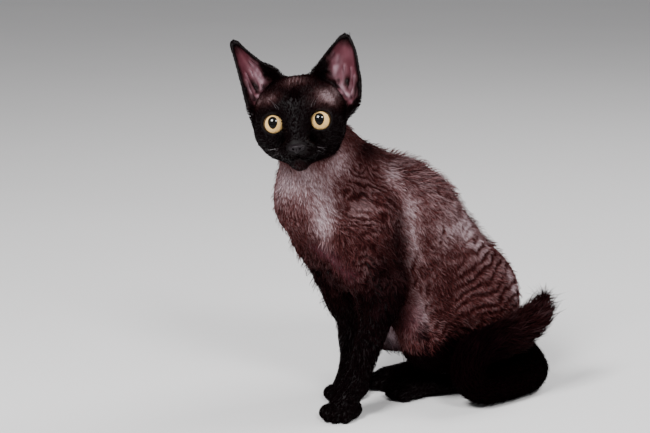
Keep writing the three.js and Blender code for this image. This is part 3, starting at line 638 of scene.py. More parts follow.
@dataclass
class Body:
    """The whole cat's form, its skin a little inside the solids that it dresses."""

    trunk_coat: float = 0.6  # how far the skin lies inside the solids on neck, trunk and thighs
    leg_coat: float = 1.5  # on the lower legs
    paw_coat: float = 0.9
    fillet: float = 13.0  # between trunk, neck and limbs
    head_reach: float = 92.0  # how far from the head its form is read; further off a ball stands in for it
    head_ball: float = 70.0
    ripple_depth: float = 0.3
    haunch_apart: float = 8.4  # from one ripple to the next on the haunch
    ribs_apart: float = 8.2
    breast_apart: float = 7.4

    def __post_init__(self) -> None:
        """Join the forms of each region."""
        self.head = Head()
        self.ears = [Ear(edges) for edges in EARS]
        self.tail = Tail()
        self.noise = Noise(5)
        c, k = self.trunk_coat, self.leg_coat
        breast, ribs, loin, rump = (0, -11, 183), (5, 74, 158), (11, 140, 82), (12, 147, 40)
        root, top = (1, -9, 208), (10, -22, 230)
        self.neck = within(blend(self.fillet, [
            Bone(root, top, 35 - c, 29 - c), Bone((3, 24, 204), (9, -4, 230), 25 - c, 21 - c),
        ]), (-36, -54, 172), (42, 50, 262))
        self.trunk = blend(self.fillet, [
            Bone(breast, ribs, 37.5 - c, 44.5 - c), Bone(ribs, loin, 44.5 - c, 42.5 - c),
            Bone(loin, rump, 42.5 - c, 36.5 - c), Bone((8, 50, 140), (11, 112, 72), 38 - c, 40 - c),
            Bone((2, 4, 170), (8, 18, 128), 32 - c, 25 - c),
            Bone((2, 70, 190), (0, 34, 201), 21 - c, 23 - c),
        ])
        self.shoulder = within(blend(self.fillet, [form for leg in LEGS for form in (
            Bone(leg.blade, leg.shoulder, 15 - c, 20 - c), Bone(leg.shoulder, leg.elbow, 20 - c, 16 - c),
            Bone(np.add(leg.shoulder, (1, 4, -14)), np.add(leg.elbow, (-1, -leg.full, -12)), 13, 10.5),
        )]), (-50, -20, 80), (60, 66, 202))
        self.foreleg = within(blend(self.fillet, [
            Bone(leg.elbow, leg.wrist, 15.5 - k, 10.5 - k) for leg in LEGS
        ]), (-38, -16, 14), (58, 50, 124))
        self.thigh = within(blend(self.fillet, [form for leg in LEGS for form in (
            Bone(leg.hip, leg.knee, 31 - c, 18 - c, 0.85),
            Bone((0.85 * leg.knee[0], 54, 84), (0.92 * leg.knee[0], 71, 56), 15, 17),
        )]), (-50, 34, 32), (68, 170, 106))
        self.shin = within(blend(self.fillet, [
            Bone(leg.knee, leg.hock, 15 - c, 9 - k) for leg in LEGS
        ]), (-40, 58, 2), (62, 144, 70))
        self.forepaws = [self._forepaw(leg) for leg in LEGS]
        self.hindpaws = [self._hindpaw(leg) for leg in LEGS]

    def _toes(self, forward: float) -> list[Egg]:
        """Return the four toes of a paw in its own frame."""
        radius, across, stagger, c = 6.8, 6.9, 5.0, self.paw_coat
        return [Egg((n * across, -forward + (stagger if abs(n) > 1 else 0), radius - 0.6),
                    (radius * 0.8 - c, radius * 1.25 - c, radius - c)) for n in (-1.5, -0.5, 0.5, 1.5)]

    def _forepaw(self, leg: Leg) -> Field:
        """Join a forepaw's form.

        Args:
            leg: The leg that it ends.

        Returns:
            The form, in the cat's frame.
        """
        axes = turned(leg.paw_yaw)
        centre = np.asarray(leg.paw, float)
        wrist = tuple((leg.wrist - centre) @ axes)
        c = self.paw_coat
        palm = blend(6, [Bone(wrist, (0, -4, 9), 11 - c, 10.5 - c),
                         Egg((1, 3, 7), (15 - c, 14.5 - c, 8.5 - c))])
        form = blend(2, [palm, *self._toes(14)])
        return within(lambda p: form((p - centre) @ axes), centre + (-26, -28, 0), centre + (26, 36, 42), 8.0)

    def _hindpaw(self, leg: Leg) -> Field:
        """Join a hind paw's form.

        Args:
            leg: The leg that it ends.

        Returns:
            The form, in the cat's frame.
        """
        centre = np.asarray(leg.toes, float)
        run = (*leg.hock[:2], 0.0) - centre
        axes = turned(math.degrees(math.atan2(-run[0], run[1])))
        length = float(np.linalg.norm(run))
        c = self.paw_coat
        sole = blend(5, [Bone((0, length, 10), (0, 4, 9), 9.5 - c, 9 - c, 1.15),
                         Egg((0, 2, 7), (13 - c, 13 - c, 8 - c))])
        form = blend(2.5, [sole, *self._toes(12)])
        low = np.minimum(centre, leg.hock) + (-24, -24, 0)
        high = np.maximum(centre, leg.hock) + (24, 20, 12)
        return within(lambda p: form((p - centre) @ axes), low, high, 6.0)

    def ear_form(self, q: Array) -> Array:
        """Return distances to both ears, from points in the head's frame."""
        return np.minimum(self.ears[0].form(q), self.ears[1].form(q))

    def ear_place(self, q: Array) -> tuple[Array, Array, Array]:
        """Find points' places on the nearer ear.

        Args:
            q: Points in the head's frame.

        Returns:
            Places across and up it, and how far behind it they are.
        """
        left = q[:, 0] > 0
        found = [np.zeros(len(q)) for _ in range(3)]
        for ear in self.ears:
            mine = left if ear.edges.side > 0 else ~left
            if mine.any():
                for whole, part in zip(found, ear.nearest(q[mine])):
                    whole[mine] = part
        return found[0], found[1], found[2]

    def ear_inside(self, q: Array) -> tuple[Array, Array]:
        """Find the bare inside of the ears.

        Args:
            q: Points in the head's frame.

        Returns:
            How far each is inside a cup, from 0 to 1, less where shade is painted in the canal and creases,
            and the painted highlight on its folds.
        """
        u, v, behind = self.ear_place(q)
        ragged = 0.03 * self.noise(q + 11, 5.0)
        furred = 0.20 * clamp(1.25 - v / 0.42) ** 0.7  # dark fur grows in from the inner base
        rim = np.minimum((u - furred) / (1 + 12 * furred), 1 - u) + ragged
        front = clamp((0.4 - behind) / 0.8)
        off_tip = clamp((0.96 - v) / 0.16) ** 0.7
        off_base = clamp((v - 0.175 + 2 * ragged) / 0.06)
        inside = front * clamp((rim - 0.012) / 0.11) ** 0.7 * off_tip * off_base
        # painted shade in the hollow of the canal and in a hollow low by the inner base
        canal_shade = hill((0.68, 0.385), (0.08, 0.075), u, v)
        canal_shade = np.maximum(canal_shade, 0.75 * hill((0.42, 0.24), (0.10, 0.04), u, v))
        # painted highlight: a broad sheen mid-cup and the folds' crests, brighter where the creases rise
        sheen = hill((0.36, 0.5), (0.2, 0.13), u, v)
        grain = self.noise(q * (1, 1, 0.5), 2.2)
        low = clamp((0.5 - v) / 0.14)
        crease_shading = self.noise(q * (1, 1, 0.55) + 17, 3.6)
        fold_highlight = 0.01 + 0.05 * self.noise(q, 7.0) + 0.20 * sheen * (1 + 0.7 * grain)
        fold_highlight = fold_highlight + 0.20 * np.clip(self.ears[0].folds(u, v), 0, 2)
        fold_highlight = (fold_highlight + 0.36 * low * clamp(crease_shading - 0.05)) * (0.9 + 0.6 * grain)
        # painted shade darkens the canal and the gaps between the creases low in the cup
        inside = inside * (1 - 0.92 * canal_shade) * (1 - 0.85 * low * clamp(-0.15 - 1.3 * crease_shading))
        return inside * (0.93 + 0.1 * self.noise(q + 5, 6.0)), clamp(fold_highlight)

    def groups(self, p: Array) -> dict[Region, Array]:
        """Measure points against each region.

        Args:
            p: Points in the cat's frame.

        Returns:
            Distances to each region's form.
        """
        q = self.head.into(p)
        return {
            Region.HEAD: self.head.form(q),
            Region.EAR: self.ear_form(q),
            Region.NECK: self.neck(p),
            Region.TRUNK: self.trunk(p),
            Region.SHOULDER: self.shoulder(p),
            Region.FORELEG: self.foreleg(p),
            Region.FOREPAW: np.minimum(self.forepaws[0](p), self.forepaws[1](p)),
            Region.THIGH: smooth_min(self.thigh(p), self.shin(p), self.fillet),
            Region.HINDFOOT: np.minimum(self.hindpaws[0](p), self.hindpaws[1](p)),
            Region.TAIL: self.tail.form(p),
        }

    def skin(self, p: Array) -> Array:
        """Measure points against the whole skin.

        Args:
            p: Points in the cat's frame.

        Returns:
            Distances, below 0 inside.
        """
        parts = np.array_split(p, max(1, len(p) // 25000))
        with ThreadPoolExecutor(4) as crew:
            return np.concatenate(list(crew.map(self._skin, parts)))

    def _skin(self, p: Array) -> Array:
        """Measure one batch of points against the skin.

        Args:
            p: Points in the cat's frame.

        Returns:
            Distances, below 0 inside.
        """
        d = self.trunk(p)
        for form in (self.neck, self.shoulder, self.foreleg, self.thigh, self.shin):
            d = smooth_min(d, form(p), self.fillet)
        q = self.head.into(p)
        near = lengths(q - (0, 0, 8)) < self.head_reach
        face = lengths(q) - self.head_ball
        if near.any():
            face[near] = self.head.face(q[near], self.ear_form)
        d = smooth_min(d, face, 9)
        for form in self.forepaws:
            d = smooth_min(d, form(p), 6)
        for form in self.hindpaws:
            d = smooth_min(d, form(p), 3)
        tail = self.tail.form(p)
        root = lengths(p - self.tail.path[0])
        d = smooth_min(d, tail, np.interp(root, [20, 45], [12, 0.6]))
        waves, strength = self.wave(p)
        return np.maximum(d - self.ripple_depth * waves * strength, -p[:, 2])

    def wave(self, p: Array) -> tuple[Array, Array]:
        """Read the ripples of the coat.

        Args:
            p: Points in the cat's frame.

        Returns:
            Heights of the ripples from -1 to 1, and their strength from 0 to 1.
        """
        y, z = p[:, 1], p[:, 2]
        rear = 1 / (1 + np.exp(-((y - 88) + (112 - z) * 0.6) / 9))
        front = 1 / (1 + np.exp((y - 38) / 8))
        back = clamp(1 - rear - front)
        bend = 4.4 * self.noise(p, 22.0) + 2.6 * self.noise(p + 50, 7.5)
        rows = np.sin(2 * np.pi * (0.92 * z - 0.38 * y) / self.haunch_apart + bend)
        strokes = np.sin(2 * np.pi * (y + 0.3 * z) / self.ribs_apart + 1.5 * bend)
        broken = clamp(np.sin(2 * np.pi * (z - 0.3 * y) / 14 + 2 * bend))
        strokes = 1 - (1 - strokes) * (0.35 + 0.65 * broken)
        curls = np.sin(2 * np.pi * (0.5 * y + 0.8 * z) / self.breast_apart + 2.4 * bend)
        height = rear * rows + back * strokes + front * curls
        height = 1 - 2 * clamp(0.5 - 0.5 * height) ** 1.7  # narrow troughs between broad crests
        breaks = self.noise(p * (1, 0.7, 1.5) + 90, 9.0)
        patchy = np.clip(0.60 + 0.7 * self.noise(p + 90, 16.0) + 1.0 * breaks, 0.05, 1.0) * (1 - 0.1 * back)
        off_feet = clamp((z - 42) / 25)
        head = lengths(self.head.into(p) - (0, 4, 8))
        off_head = clamp((head - 44) / 40)
        inner = np.clip(1.1 - np.clip(-y - 2, 0, 40) / 24, 0.25, 1)
        return height, patchy * off_feet * off_head * inner


# Meshes


CORNERS = [(i, j, k) for i in (0, 1) for j in (0, 1) for k in (0, 1)]  # of a cell


@dataclass(frozen=True)
class Ruled:
    """The lines of a grid along one axis, through stretches of even cells."""

    start: float
    stretches: Sequence[tuple[float, float]]

    def lines(self) -> Array:
        """Return the places of the lines."""
        places = [self.start]
        for until, cell in self.stretches:
            count = max(1, round((until - places[-1]) / cell))
            places.extend(np.linspace(places[-1], until, count + 1)[1:])
        return np.array(places)


@dataclass
class SurfaceNet:
    """Turns a form into a fine mesh of quads, one vertex a cell."""

    x: Ruled
    y: Ruled
    z: Ruled
    spread: Field = np.copy  # how the grid's points are spread through space
    stride: int = 6  # the form is read on every sixth line first
    far: float = 50.0  # stands for the form's value well away from its surface

    def __post_init__(self) -> None:
        """Lay out the grid."""
        self.axes = [self.x.lines(), self.y.lines(), self.z.lines()]

    def _sample(self, form: Field) -> Array:
        """Read a form on the grid, in full only near its surface.

        Args:
            form: The form.

        Returns:
            Its values at the grid's points.
        """
        counts = [len(a) for a in self.axes]
        marks = [np.unique(np.append(np.arange(0, n, self.stride), n - 1)) for n in counts]
        coarse_axes = [a[m] for a, m in zip(self.axes, marks)]
        grid = np.stack(np.meshgrid(*coarse_axes, indexing="ij"), axis=-1)
        grid = self.spread(grid.reshape(-1, 3)).reshape(grid.shape)
        coarse = form(grid.reshape(-1, 3)).reshape(grid.shape[:3])
        nearest = [np.clip(np.searchsorted(m, np.arange(n), side="right") - 1, 0, len(m) - 1)
                   for m, n in zip(marks, counts)]
        values = np.sign(coarse[np.ix_(*nearest)]) * self.far
        size = np.linalg.norm(grid[1:, 1:, 1:] - grid[:-1, :-1, :-1], axis=-1)
        low = np.full(size.shape, 1e9)
        for i, j, k in CORNERS:
            part = coarse[i:i + size.shape[0], j:j + size.shape[1], k:k + size.shape[2]]
            low = np.minimum(low, np.abs(part))
        needed = np.zeros(counts, bool)
        for i, j, k in np.argwhere(low < 0.72 * size + 0.8):
            needed[marks[0][i]:marks[0][i + 1] + 1, marks[1][j]:marks[1][j + 1] + 1,
                   marks[2][k]:marks[2][k + 1] + 1] = True
        where = np.nonzero(needed)
        points = np.stack([a[w] for a, w in zip(self.axes, where)], axis=1)
        values[where] = form(self.spread(points))
        return values

    def mesh(self, form: Field, passes: int = 2) -> tuple[Array, Array]:
        """Mesh a form.

        Args:
            form: The form.
            passes: How often the vertices are moved onto it.

        Returns:
            Vertices, and quads that face out.
        """
        values = self._sample(form)
        inside = values < 0
        nx, ny, nz = values.shape
        total = np.zeros((nx - 1, ny - 1, nz - 1), np.uint8)
        for i, j, k in CORNERS:
            total += inside[i:nx - 1 + i, j:ny - 1 + j, k:nz - 1 + k]
        cells = np.nonzero((total > 0) & (total < 8))
        index = np.full(total.shape, -1)
        index[cells] = np.arange(len(cells[0]))
        local = np.zeros((len(cells[0]), 3))
        crossings = np.zeros(len(cells[0]))
        read = {c: values[cells[0] + c[0], cells[1] + c[1], cells[2] + c[2]] for c in CORNERS}
        for a in CORNERS:
            for axis in range(3):
                if a[axis]:
                    continue
                b = tuple(1 if n == axis else v for n, v in enumerate(a))
                va, vb = read[a], read[b]
                crossed = (va < 0) != (vb < 0)
                t = np.where(crossed, va / np.where(crossed, va - vb, 1.0), 0.0)
                place = np.tile(np.array(a, float), (len(t), 1))
                place[:, axis] = t
                local += place * crossed[:, None]
                crossings += crossed
        local /= crossings[:, None]
        low = np.stack([a[c] for a, c in zip(self.axes, cells)], axis=1)
        high = np.stack([a[c + 1] for a, c in zip(self.axes, cells)], axis=1)
        points = self.spread(low + (high - low) * local)
        size = np.abs(self.spread(high) - self.spread(low)).min(axis=1)
        quads = self._quads(inside, index)
        for _ in range(passes):
            here = form(points)
            out = slope(form, points, 0.1, here)
            square = np.maximum((out * out).sum(1), 0.25)
            move = -out * (here / square)[:, None]
            length = lengths(move)
            points = points + move * np.minimum(1.0, 0.45 * size / np.maximum(length, 1e-9))[:, None]
        return points, quads

    def _quads(self, inside: Array, index: Array) -> Array:
        """Join the vertices round each grid edge that the surface crosses.

        Args:
            inside: Which of the grid's points are inside.
            index: Each cell's vertex, or -1.

        Returns:
            The quads, which face out.
        """
        faces = []
        for axis in range(3):
            u, v = (axis + 1) % 3, (axis + 2) % 3
            here = inside.take(range(inside.shape[axis] - 1), axis)
            there = inside.take(range(1, inside.shape[axis]), axis)
            where = np.array(np.nonzero(here != there))
            keep = (where[u] > 0) & (where[v] > 0)
            keep &= (where[u] < inside.shape[u] - 1) & (where[v] < inside.shape[v] - 1)
            where = where[:, keep]
            first = here[tuple(where)]
            ring = []
            for du, dv in ((-1, -1), (0, -1), (0, 0), (-1, 0)):
                at = where.copy()
                at[u] += du
                at[v] += dv
                ring.append(index[tuple(at)])
            quad = np.stack(ring, axis=1)
            quad[~first] = quad[~first][:, ::-1]
            faces.append(quad)
        quads = np.vstack(faces)
        return quads[(quads >= 0).all(axis=1)]


# Placing


class Place:
    """Where the forms stand in the scene, taken from the CAD's own eyes."""

    def __init__(self, head: Head) -> None:
        """Measure the shift from the eye nodes.

        Args:
            head: The head that holds the eyes.
        """
        shifts = []
        for side, node in EYE_NODES:
            low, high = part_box(node)
            middle = (np.array(low) + np.array(high)) / 2.0
            shifts.append(middle - head.out(head.eye(side)[None])[0] * MM)
        self.shift = np.mean(shifts, axis=0)

    def __call__(self, p: Array) -> Array:
        """Return points of the cat's frame, in metres in the scene."""
        return p * MM + self.shift


def stand(name: str, data: bpy.types.ID) -> Piece:
    """Make an object and link it to the scene.

    Args:
        name: Its name.
        data: Its mesh, light or camera.

    Returns:
        The object.
    """
    made = bpy.data.objects.new(name, data)
    bpy.context.scene.collection.objects.link(made)
    return made


def packed(values: Array, kind: type = np.float32) -> Array:
    """Return numbers in one row, as a mesh takes them."""
    return np.ascontiguousarray(values, dtype=kind).ravel()


def build(name: str, points: Array, faces: Array, material: Material) -> Piece:
    """Make one smooth mesh object.

    Args:
        name: The piece's name.
        points: Its vertices, in metres.
        faces: Its faces, all with as many corners.
        material: Its finish.

    Returns:
        The object, linked to the scene.
    """
    mesh = bpy.data.meshes.new(name)
    mesh.vertices.add(len(points))
    mesh.vertices.foreach_set("co", packed(points))
    mesh.loops.add(faces.size)
    mesh.loops.foreach_set("vertex_index", packed(faces, np.int32))
    mesh.polygons.add(len(faces))
    mesh.polygons.foreach_set("loop_start", np.arange(len(faces), dtype=np.int32) * faces.shape[1])
    mesh.polygons.foreach_set("use_smooth", np.ones(len(faces), bool))
    mesh.update(calc_edges=True)
    mesh.materials.append(material)
    return stand(name, mesh)


def paint(made: Piece, name: str, values: Array) -> None:
    """Give a piece's vertices an attribute.

    Args:
        made: The piece.
        name: The attribute's name.
        values: A number or four for each vertex.
    """
    kind, key = ("FLOAT", "value") if values.ndim == 1 else ("FLOAT_COLOR", "color")
    layer = made.data.attributes.new(name, kind, "POINT")
    layer.data.foreach_set(key, packed(values))


# Markings


class Mark(Enum):
    """What a marking does to the coat."""

    # the silver mark is partly the coat's own pale silver and partly painted sheen and highlight
    DARK, SILVER, BARE = range(3)


@dataclass(frozen=True)
class Patch:
    """A soft-edged marking on the coat."""

    mark: Mark
    centre: Triple
    half: Triple
    strength: float
    on_head: bool = False


@dataclass
class Markings:
    """The points of the coat: dark face, legs and tail over a smoky body, its silver partly its own pale
    colour and partly painted sheen.
    """

    body: Body
    silver = (  # centres, half sizes and strengths, and True where they are in the head's frame; each is the coat's pale silver together with painted sheen
        ((0, -14, 31), (11, 13, 10), 0.68, True), ((27, -19, 15.5), (15, 13, 9.5), 0.95, True),
        ((33, -4, 19), (9, 12, 8), 0.6, True), ((-20, -23, 16.5), (10, 8, 6), 0.66, True),
        # under the chin, the patches at (6, -46, 203) and (26, -38, 213) are partly the throat's pale coat
        # and partly painted light over the head's shadow
        ((-30, -12, 16), (8, 10, 7), 0.6, True), ((6, -46, 203), (24, 18, 19), 0.85),
        ((26, -38, 213), (16, 11, 12), 0.62), ((32, -30, 196), (14, 14, 26), 0.66),
        # the bright strip at (32, -28, 172) is a painted highlight down the chest's pale coat
        ((32, -28, 172), (10, 11, 18), 0.95), ((0, -34, 170), (14, 12, 12), 0.35),
        ((38, -14, 222), (14, 16, 15), 0.7), ((46, 2, 180), (11, 14, 11), 0.22),
        ((30, 41, 204), (12, 9, 18), 0.42), ((46, 50, 170), (12, 9, 24), 0.42),
        ((48, 54, 150), (10, 7, 20), 0.5), ((38, 78, 174), (30, 42, 36), 0.22),
        ((0, 80, 195), (36, 44, 24), 0.30), ((46, 96, 160), (22, 22, 17), 0.36),
        ((40, 114, 148), (20, 18, 17), 0.6), ((38, 132, 132), (18, 14, 16), 0.3),
        ((48, 157, 98), (14, 10, 20), 0.6), ((54, 60, 90), (12, 9, 19), 0.42),
        # the patch at (-3, 67, 53) is painted light over the shade between the legs, on the belly's pale coat
        ((-46, 80, 140), (16, 54, 50), 0.36), ((-3, 67, 53), (18, 18, 17), 1.0),
    )
    bare = (
        ((18, -22, 144), (15, 10, 7), 0.9), ((35, -19, 140), (10, 9, 8), 0.95),
        ((42, -9, 130), (8, 9, 8), 0.8), ((-4, 76, 44), (26, 22, 16), 0.6),
        ((52, 52, 82), (10, 12, 16), 0.4), ((0, -30, -38), (6, 7, 5), 0.25, True),
    )
    dark = (
        ((22, 22, 228), (22, 15, 9), 0.75), ((0, 22, 228), (24, 20, 9), 0.8),
        ((44, 32, 184), (8, 7, 18), 0.35), ((47, 38, 162), (9, 8, 17), 0.6),
        ((49, 38, 142), (10, 10, 18), 0.85), ((50, 41, 124), (13, 11, 14), 0.9),
        ((57, 31, 108), (15, 12, 16), 1.0), ((56, 24, 86), (16, 14, 20), 1.0),
        ((58, 92, 68), (14, 18, 12), 0.55), ((64, 104, 48), (22, 28, 17), 1.0),
        ((44, 12, 106), (24, 24, 18), 1.0), ((54, 16, 130), (13, 18, 22), 0.92),
        ((8, -2, 122), (16, 16, 17), 0.85), ((37, 8, 196), (9, 10, 9), 0.3),
        ((-26, 10, 112), (22, 28, 21), 0.95),
    )

    def __post_init__(self) -> None:
        """List the patches, and draw a noise for ragged edges."""
        groups = ((Mark.SILVER, self.silver), (Mark.BARE, self.bare), (Mark.DARK, self.dark))
        self.patches = [Patch(mark, *row) for mark, rows in groups for row in rows]
        self.noise = Noise(21)

    def __call__(self, p: Array, groups: dict[Region, Array]) -> Array:
        """Read the markings.

        Args:
            p: Points in the cat's frame.
            groups: Distances of the same points to each region.

        Returns:
            Dark, silver with painted sheen, bare, and ripple values for each point; the ripple value is
            painted light on crests and painted shade in troughs.
        """
        q = self.body.head.into(p)
        ragged = 4.0 * self.noise(p, 11.0) + 1.5 * self.noise(p + 31, 3.5)
        torso = np.minimum.reduce([groups[Region.TRUNK], groups[Region.NECK], groups[Region.SHOULDER]])

        def share(region: Region, edge: float, soft: float) -> Array:
            """Return how far points lie inside a region rather than the torso."""
            return 1 / (1 + np.exp((groups[region] - torso + edge + ragged * 0.4) / soft))

        rear = 1 / (1 + np.exp((44 - p[:, 1]) / 2.5))
        low_leg = 1 / (1 + np.exp((p[:, 2] - 106 + 2.2 * ragged) / 9.0)) * (1 - rear)
        haunch = 1 / (1 + np.exp((p[:, 2] - 36 + 1.4 * ragged) / 5.0)) * rear
        dark = np.maximum.reduce([
            share(Region.HEAD, 1.0, 1.2), share(Region.EAR, 0.0, 1.0), share(Region.TAIL, 0.0, 1.5),
            share(Region.FOREPAW, 0.0, 1.0), share(Region.HINDFOOT, 0.0, 1.0), low_leg, haunch,
        ])
        values = {Mark.DARK: dark, Mark.SILVER: np.zeros(len(p)), Mark.BARE: np.zeros(len(p))}
        for patch in self.patches:
            at = q if patch.on_head else p
            reach = lengths((at - patch.centre) / patch.half)
            soft = patch.strength * np.exp(-1.15 * (reach * (1 - 0.035 * ragged)) ** 2)
            if patch.on_head:
                mottled = 0.87 + 0.4 * self.noise(q + 60, 3.4) + 0.24 * self.noise(q + 80, 1.4)
                soft = soft * clamp(mottled)
            soft = np.minimum(soft, 1)
            values[patch.mark] = 1 - (1 - values[patch.mark]) * (1 - soft)
            if patch.mark is not Mark.DARK and (patch.on_head or patch.mark is Mark.BARE):
                values[Mark.DARK] = values[Mark.DARK] * (1 - 0.8 * soft)
        wave, strength = self.body.wave(p)
        # the ripple value is carried to the finish, which paints highlight on its crests and shade in its
        # troughs
        ripple = 0.5 + 0.5 * wave * strength
        # painted shade in the crown's furrows: the ripple value follows them there, and the silver falls away
        # in them
        crown = clamp(1.6 * hill((0, -12, 32), (10, 14, 9), *q.T))
        furrow = 0.5 - 0.5 * np.cos(q[:, 0] * 2 * math.pi / 3.0 + 0.8 * self.noise(q, 9.0))
        ripple += (furrow - ripple) * crown
        values[Mark.SILVER] = values[Mark.SILVER] * (1 - 0.62 * crown * (1 - furrow))
        ears = np.flatnonzero((groups[Region.EAR] < 2.5) & (groups[Region.EAR] < groups[Region.HEAD] + 1.5))
        if len(ears):
            inside, fold_highlight = self.body.ear_inside(q[ears])
            values[Mark.DARK][ears] *= 1 - 0.93 * inside
            values[Mark.BARE][ears] = np.maximum(values[Mark.BARE][ears], inside)
            # inside the ears the silver value is the painted highlight on the folds
            values[Mark.SILVER][ears] = inside * fold_highlight
        brush = np.clip((self.body.tail.nearest(p)[0] - 0.7) * 3, 0, 0.5) * (groups[Region.TAIL] < 9)
        values[Mark.DARK] = values[Mark.DARK] * (1 - 0.45 * brush)
        found = [clamp(values[mark]) for mark in (Mark.DARK, Mark.SILVER, Mark.BARE)]
        return np.stack([*found, ripple], 1)


# Finishes


class Socket:
    """A value in a shader graph that takes ordinary arithmetic."""

    def __init__(self, graph: "Graph", socket: bpy.types.NodeSocket) -> None:
        """Wrap a node's output."""
        self.graph = graph
        self.socket = socket

    def __add__(self, other: "Socket | float") -> "Socket":
        """Add."""
        return self.graph.math("ADD", self, other)

    __radd__ = __add__

    def __mul__(self, other: "Socket | float") -> "Socket":
        """Multiply."""
        return self.graph.math("MULTIPLY", self, other)

    __rmul__ = __mul__

    def __sub__(self, other: "Socket | float") -> "Socket":
        """Subtract."""
        return self.graph.math("SUBTRACT", self, other)

    def __rsub__(self, other: "Socket | float") -> "Socket":
        """Subtract from a number."""
        return self.graph.math("SUBTRACT", other, self)

    def clamp(self) -> "Socket":
        """Keep between 0 and 1."""
        return self.graph.math("ADD", self, 0.0, clamp=True)

    def power(self, exponent: float) -> "Socket":
        """Raise to a power."""
        return self.graph.math("POWER", self, exponent)


class Graph:
    """The nodes of one material."""

    def __init__(self, name: str) -> None:
        """Start a material with its main shader.

        Args:
            name: The material's name.
        """
        self.material = bpy.data.materials.new(name)
        self.material.use_nodes = True
        self.tree = self.material.node_tree
        self.tree.nodes.clear()
        self.shader = self.node("ShaderNodeBsdfPrincipled")
        output = self.node("ShaderNodeOutputMaterial")
        self.tree.links.new(self.shader.outputs["BSDF"], output.inputs["Surface"])

    def node(self, kind: str, **settings: object) -> bpy.types.Node:
        """Add a node.

        Args:
            kind: Its type.
            settings: Its settings, by name.

        Returns:
            The node.
        """
        made = self.tree.nodes.new(kind)
        for key, value in settings.items():
            setattr(made, key, value)
        return made

    def feed(self, target: bpy.types.NodeSocket, value: "Socket | float | Sequence[float]") -> None:
        """Link or set a socket."""
        if isinstance(value, Socket):
            self.tree.links.new(value.socket, target)
        else:
            target.default_value = value

    def math(self, operation: str, a: "Socket | float", b: "Socket | float", clamp: bool = False) -> Socket:
        """Combine two numbers.

        Args:
            operation: How.
            a: The first.
            b: The second.
            clamp: Keep it between 0 and 1.

        Returns:
            The result.
        """
        made = self.node("ShaderNodeMath", operation=operation, use_clamp=clamp)
        self.feed(made.inputs[0], a)
        self.feed(made.inputs[1], b)
        return Socket(self, made.outputs[0])

    def mix(self, factor: "Socket | float", a: "Socket | Sequence[float]",
            b: "Socket | Sequence[float]") -> Socket:
        """Blend two colours.

        Args:
            factor: How much of the second.
            a: The first.
            b: The second.

        Returns:
            The blend.
        """
        made = self.node("ShaderNodeMix", data_type="RGBA")
        self.feed(made.inputs[0], factor)
        self.feed(made.inputs[6], a if isinstance(a, Socket) else (*a, 1.0))
        self.feed(made.inputs[7], b if isinstance(b, Socket) else (*b, 1.0))
        return Socket(self, made.outputs[2])

    def channels(self, name: str) -> tuple[Socket, Socket, Socket, Socket]:
        """Read a colour attribute.

        Args:
            name: Its name.

        Returns:
            Its four numbers.
        """
        made = self.node("ShaderNodeAttribute", attribute_name=name)
        split = self.node("ShaderNodeSeparateColor")
        self.tree.links.new(made.outputs["Color"], split.inputs[0])
        return (*(Socket(self, split.outputs[i]) for i in range(3)), Socket(self, made.outputs["Alpha"]))

    def number(self, name: str) -> Socket:
        """Read a number attribute."""
        return Socket(self, self.node("ShaderNodeAttribute", attribute_name=name).outputs["Fac"])

    def noise(self, scale: float, detail: float = 2.0, stretch: Triple = (1, 1, 1)) -> Socket:
        """Read noise over the object's own coordinates.

        Args:
            scale: How many hills a metre.
            detail: Its octaves.
            stretch: Its scale on each axis.

        Returns:
            Values from 0 to 1.
        """
        place = self.node("ShaderNodeTexCoord")
        mapping = self.node("ShaderNodeMapping")
        mapping.inputs["Scale"].default_value = stretch
        self.tree.links.new(place.outputs["Object"], mapping.inputs["Vector"])
        made = self.node("ShaderNodeTexNoise")
        self.tree.links.new(mapping.outputs["Vector"], made.inputs["Vector"])
        made.inputs["Scale"].default_value = scale
        made.inputs["Detail"].default_value = detail
        return Socket(self, made.outputs["Fac"])

    def bump(self, height: Socket, depth: float, strength: float = 1.0) -> None:
        """Roughen the main shader's surface.

        Args:
            height: The relief.
            depth: Its depth in metres.
            strength: From 0 to 1.
        """
        made = self.node("ShaderNodeBump")
        made.inputs["Distance"].default_value = depth
        made.inputs["Strength"].default_value = strength
        self.tree.links.new(height.socket, made.inputs["Height"])
        self.tree.links.new(made.outputs["Normal"], self.shader.inputs["Normal"])

    def put(self, name: str, value: "Socket | float | Sequence[float]") -> None:
        """Feed one of the main shader's sockets."""
        self.feed(self.shader.inputs[name], value)


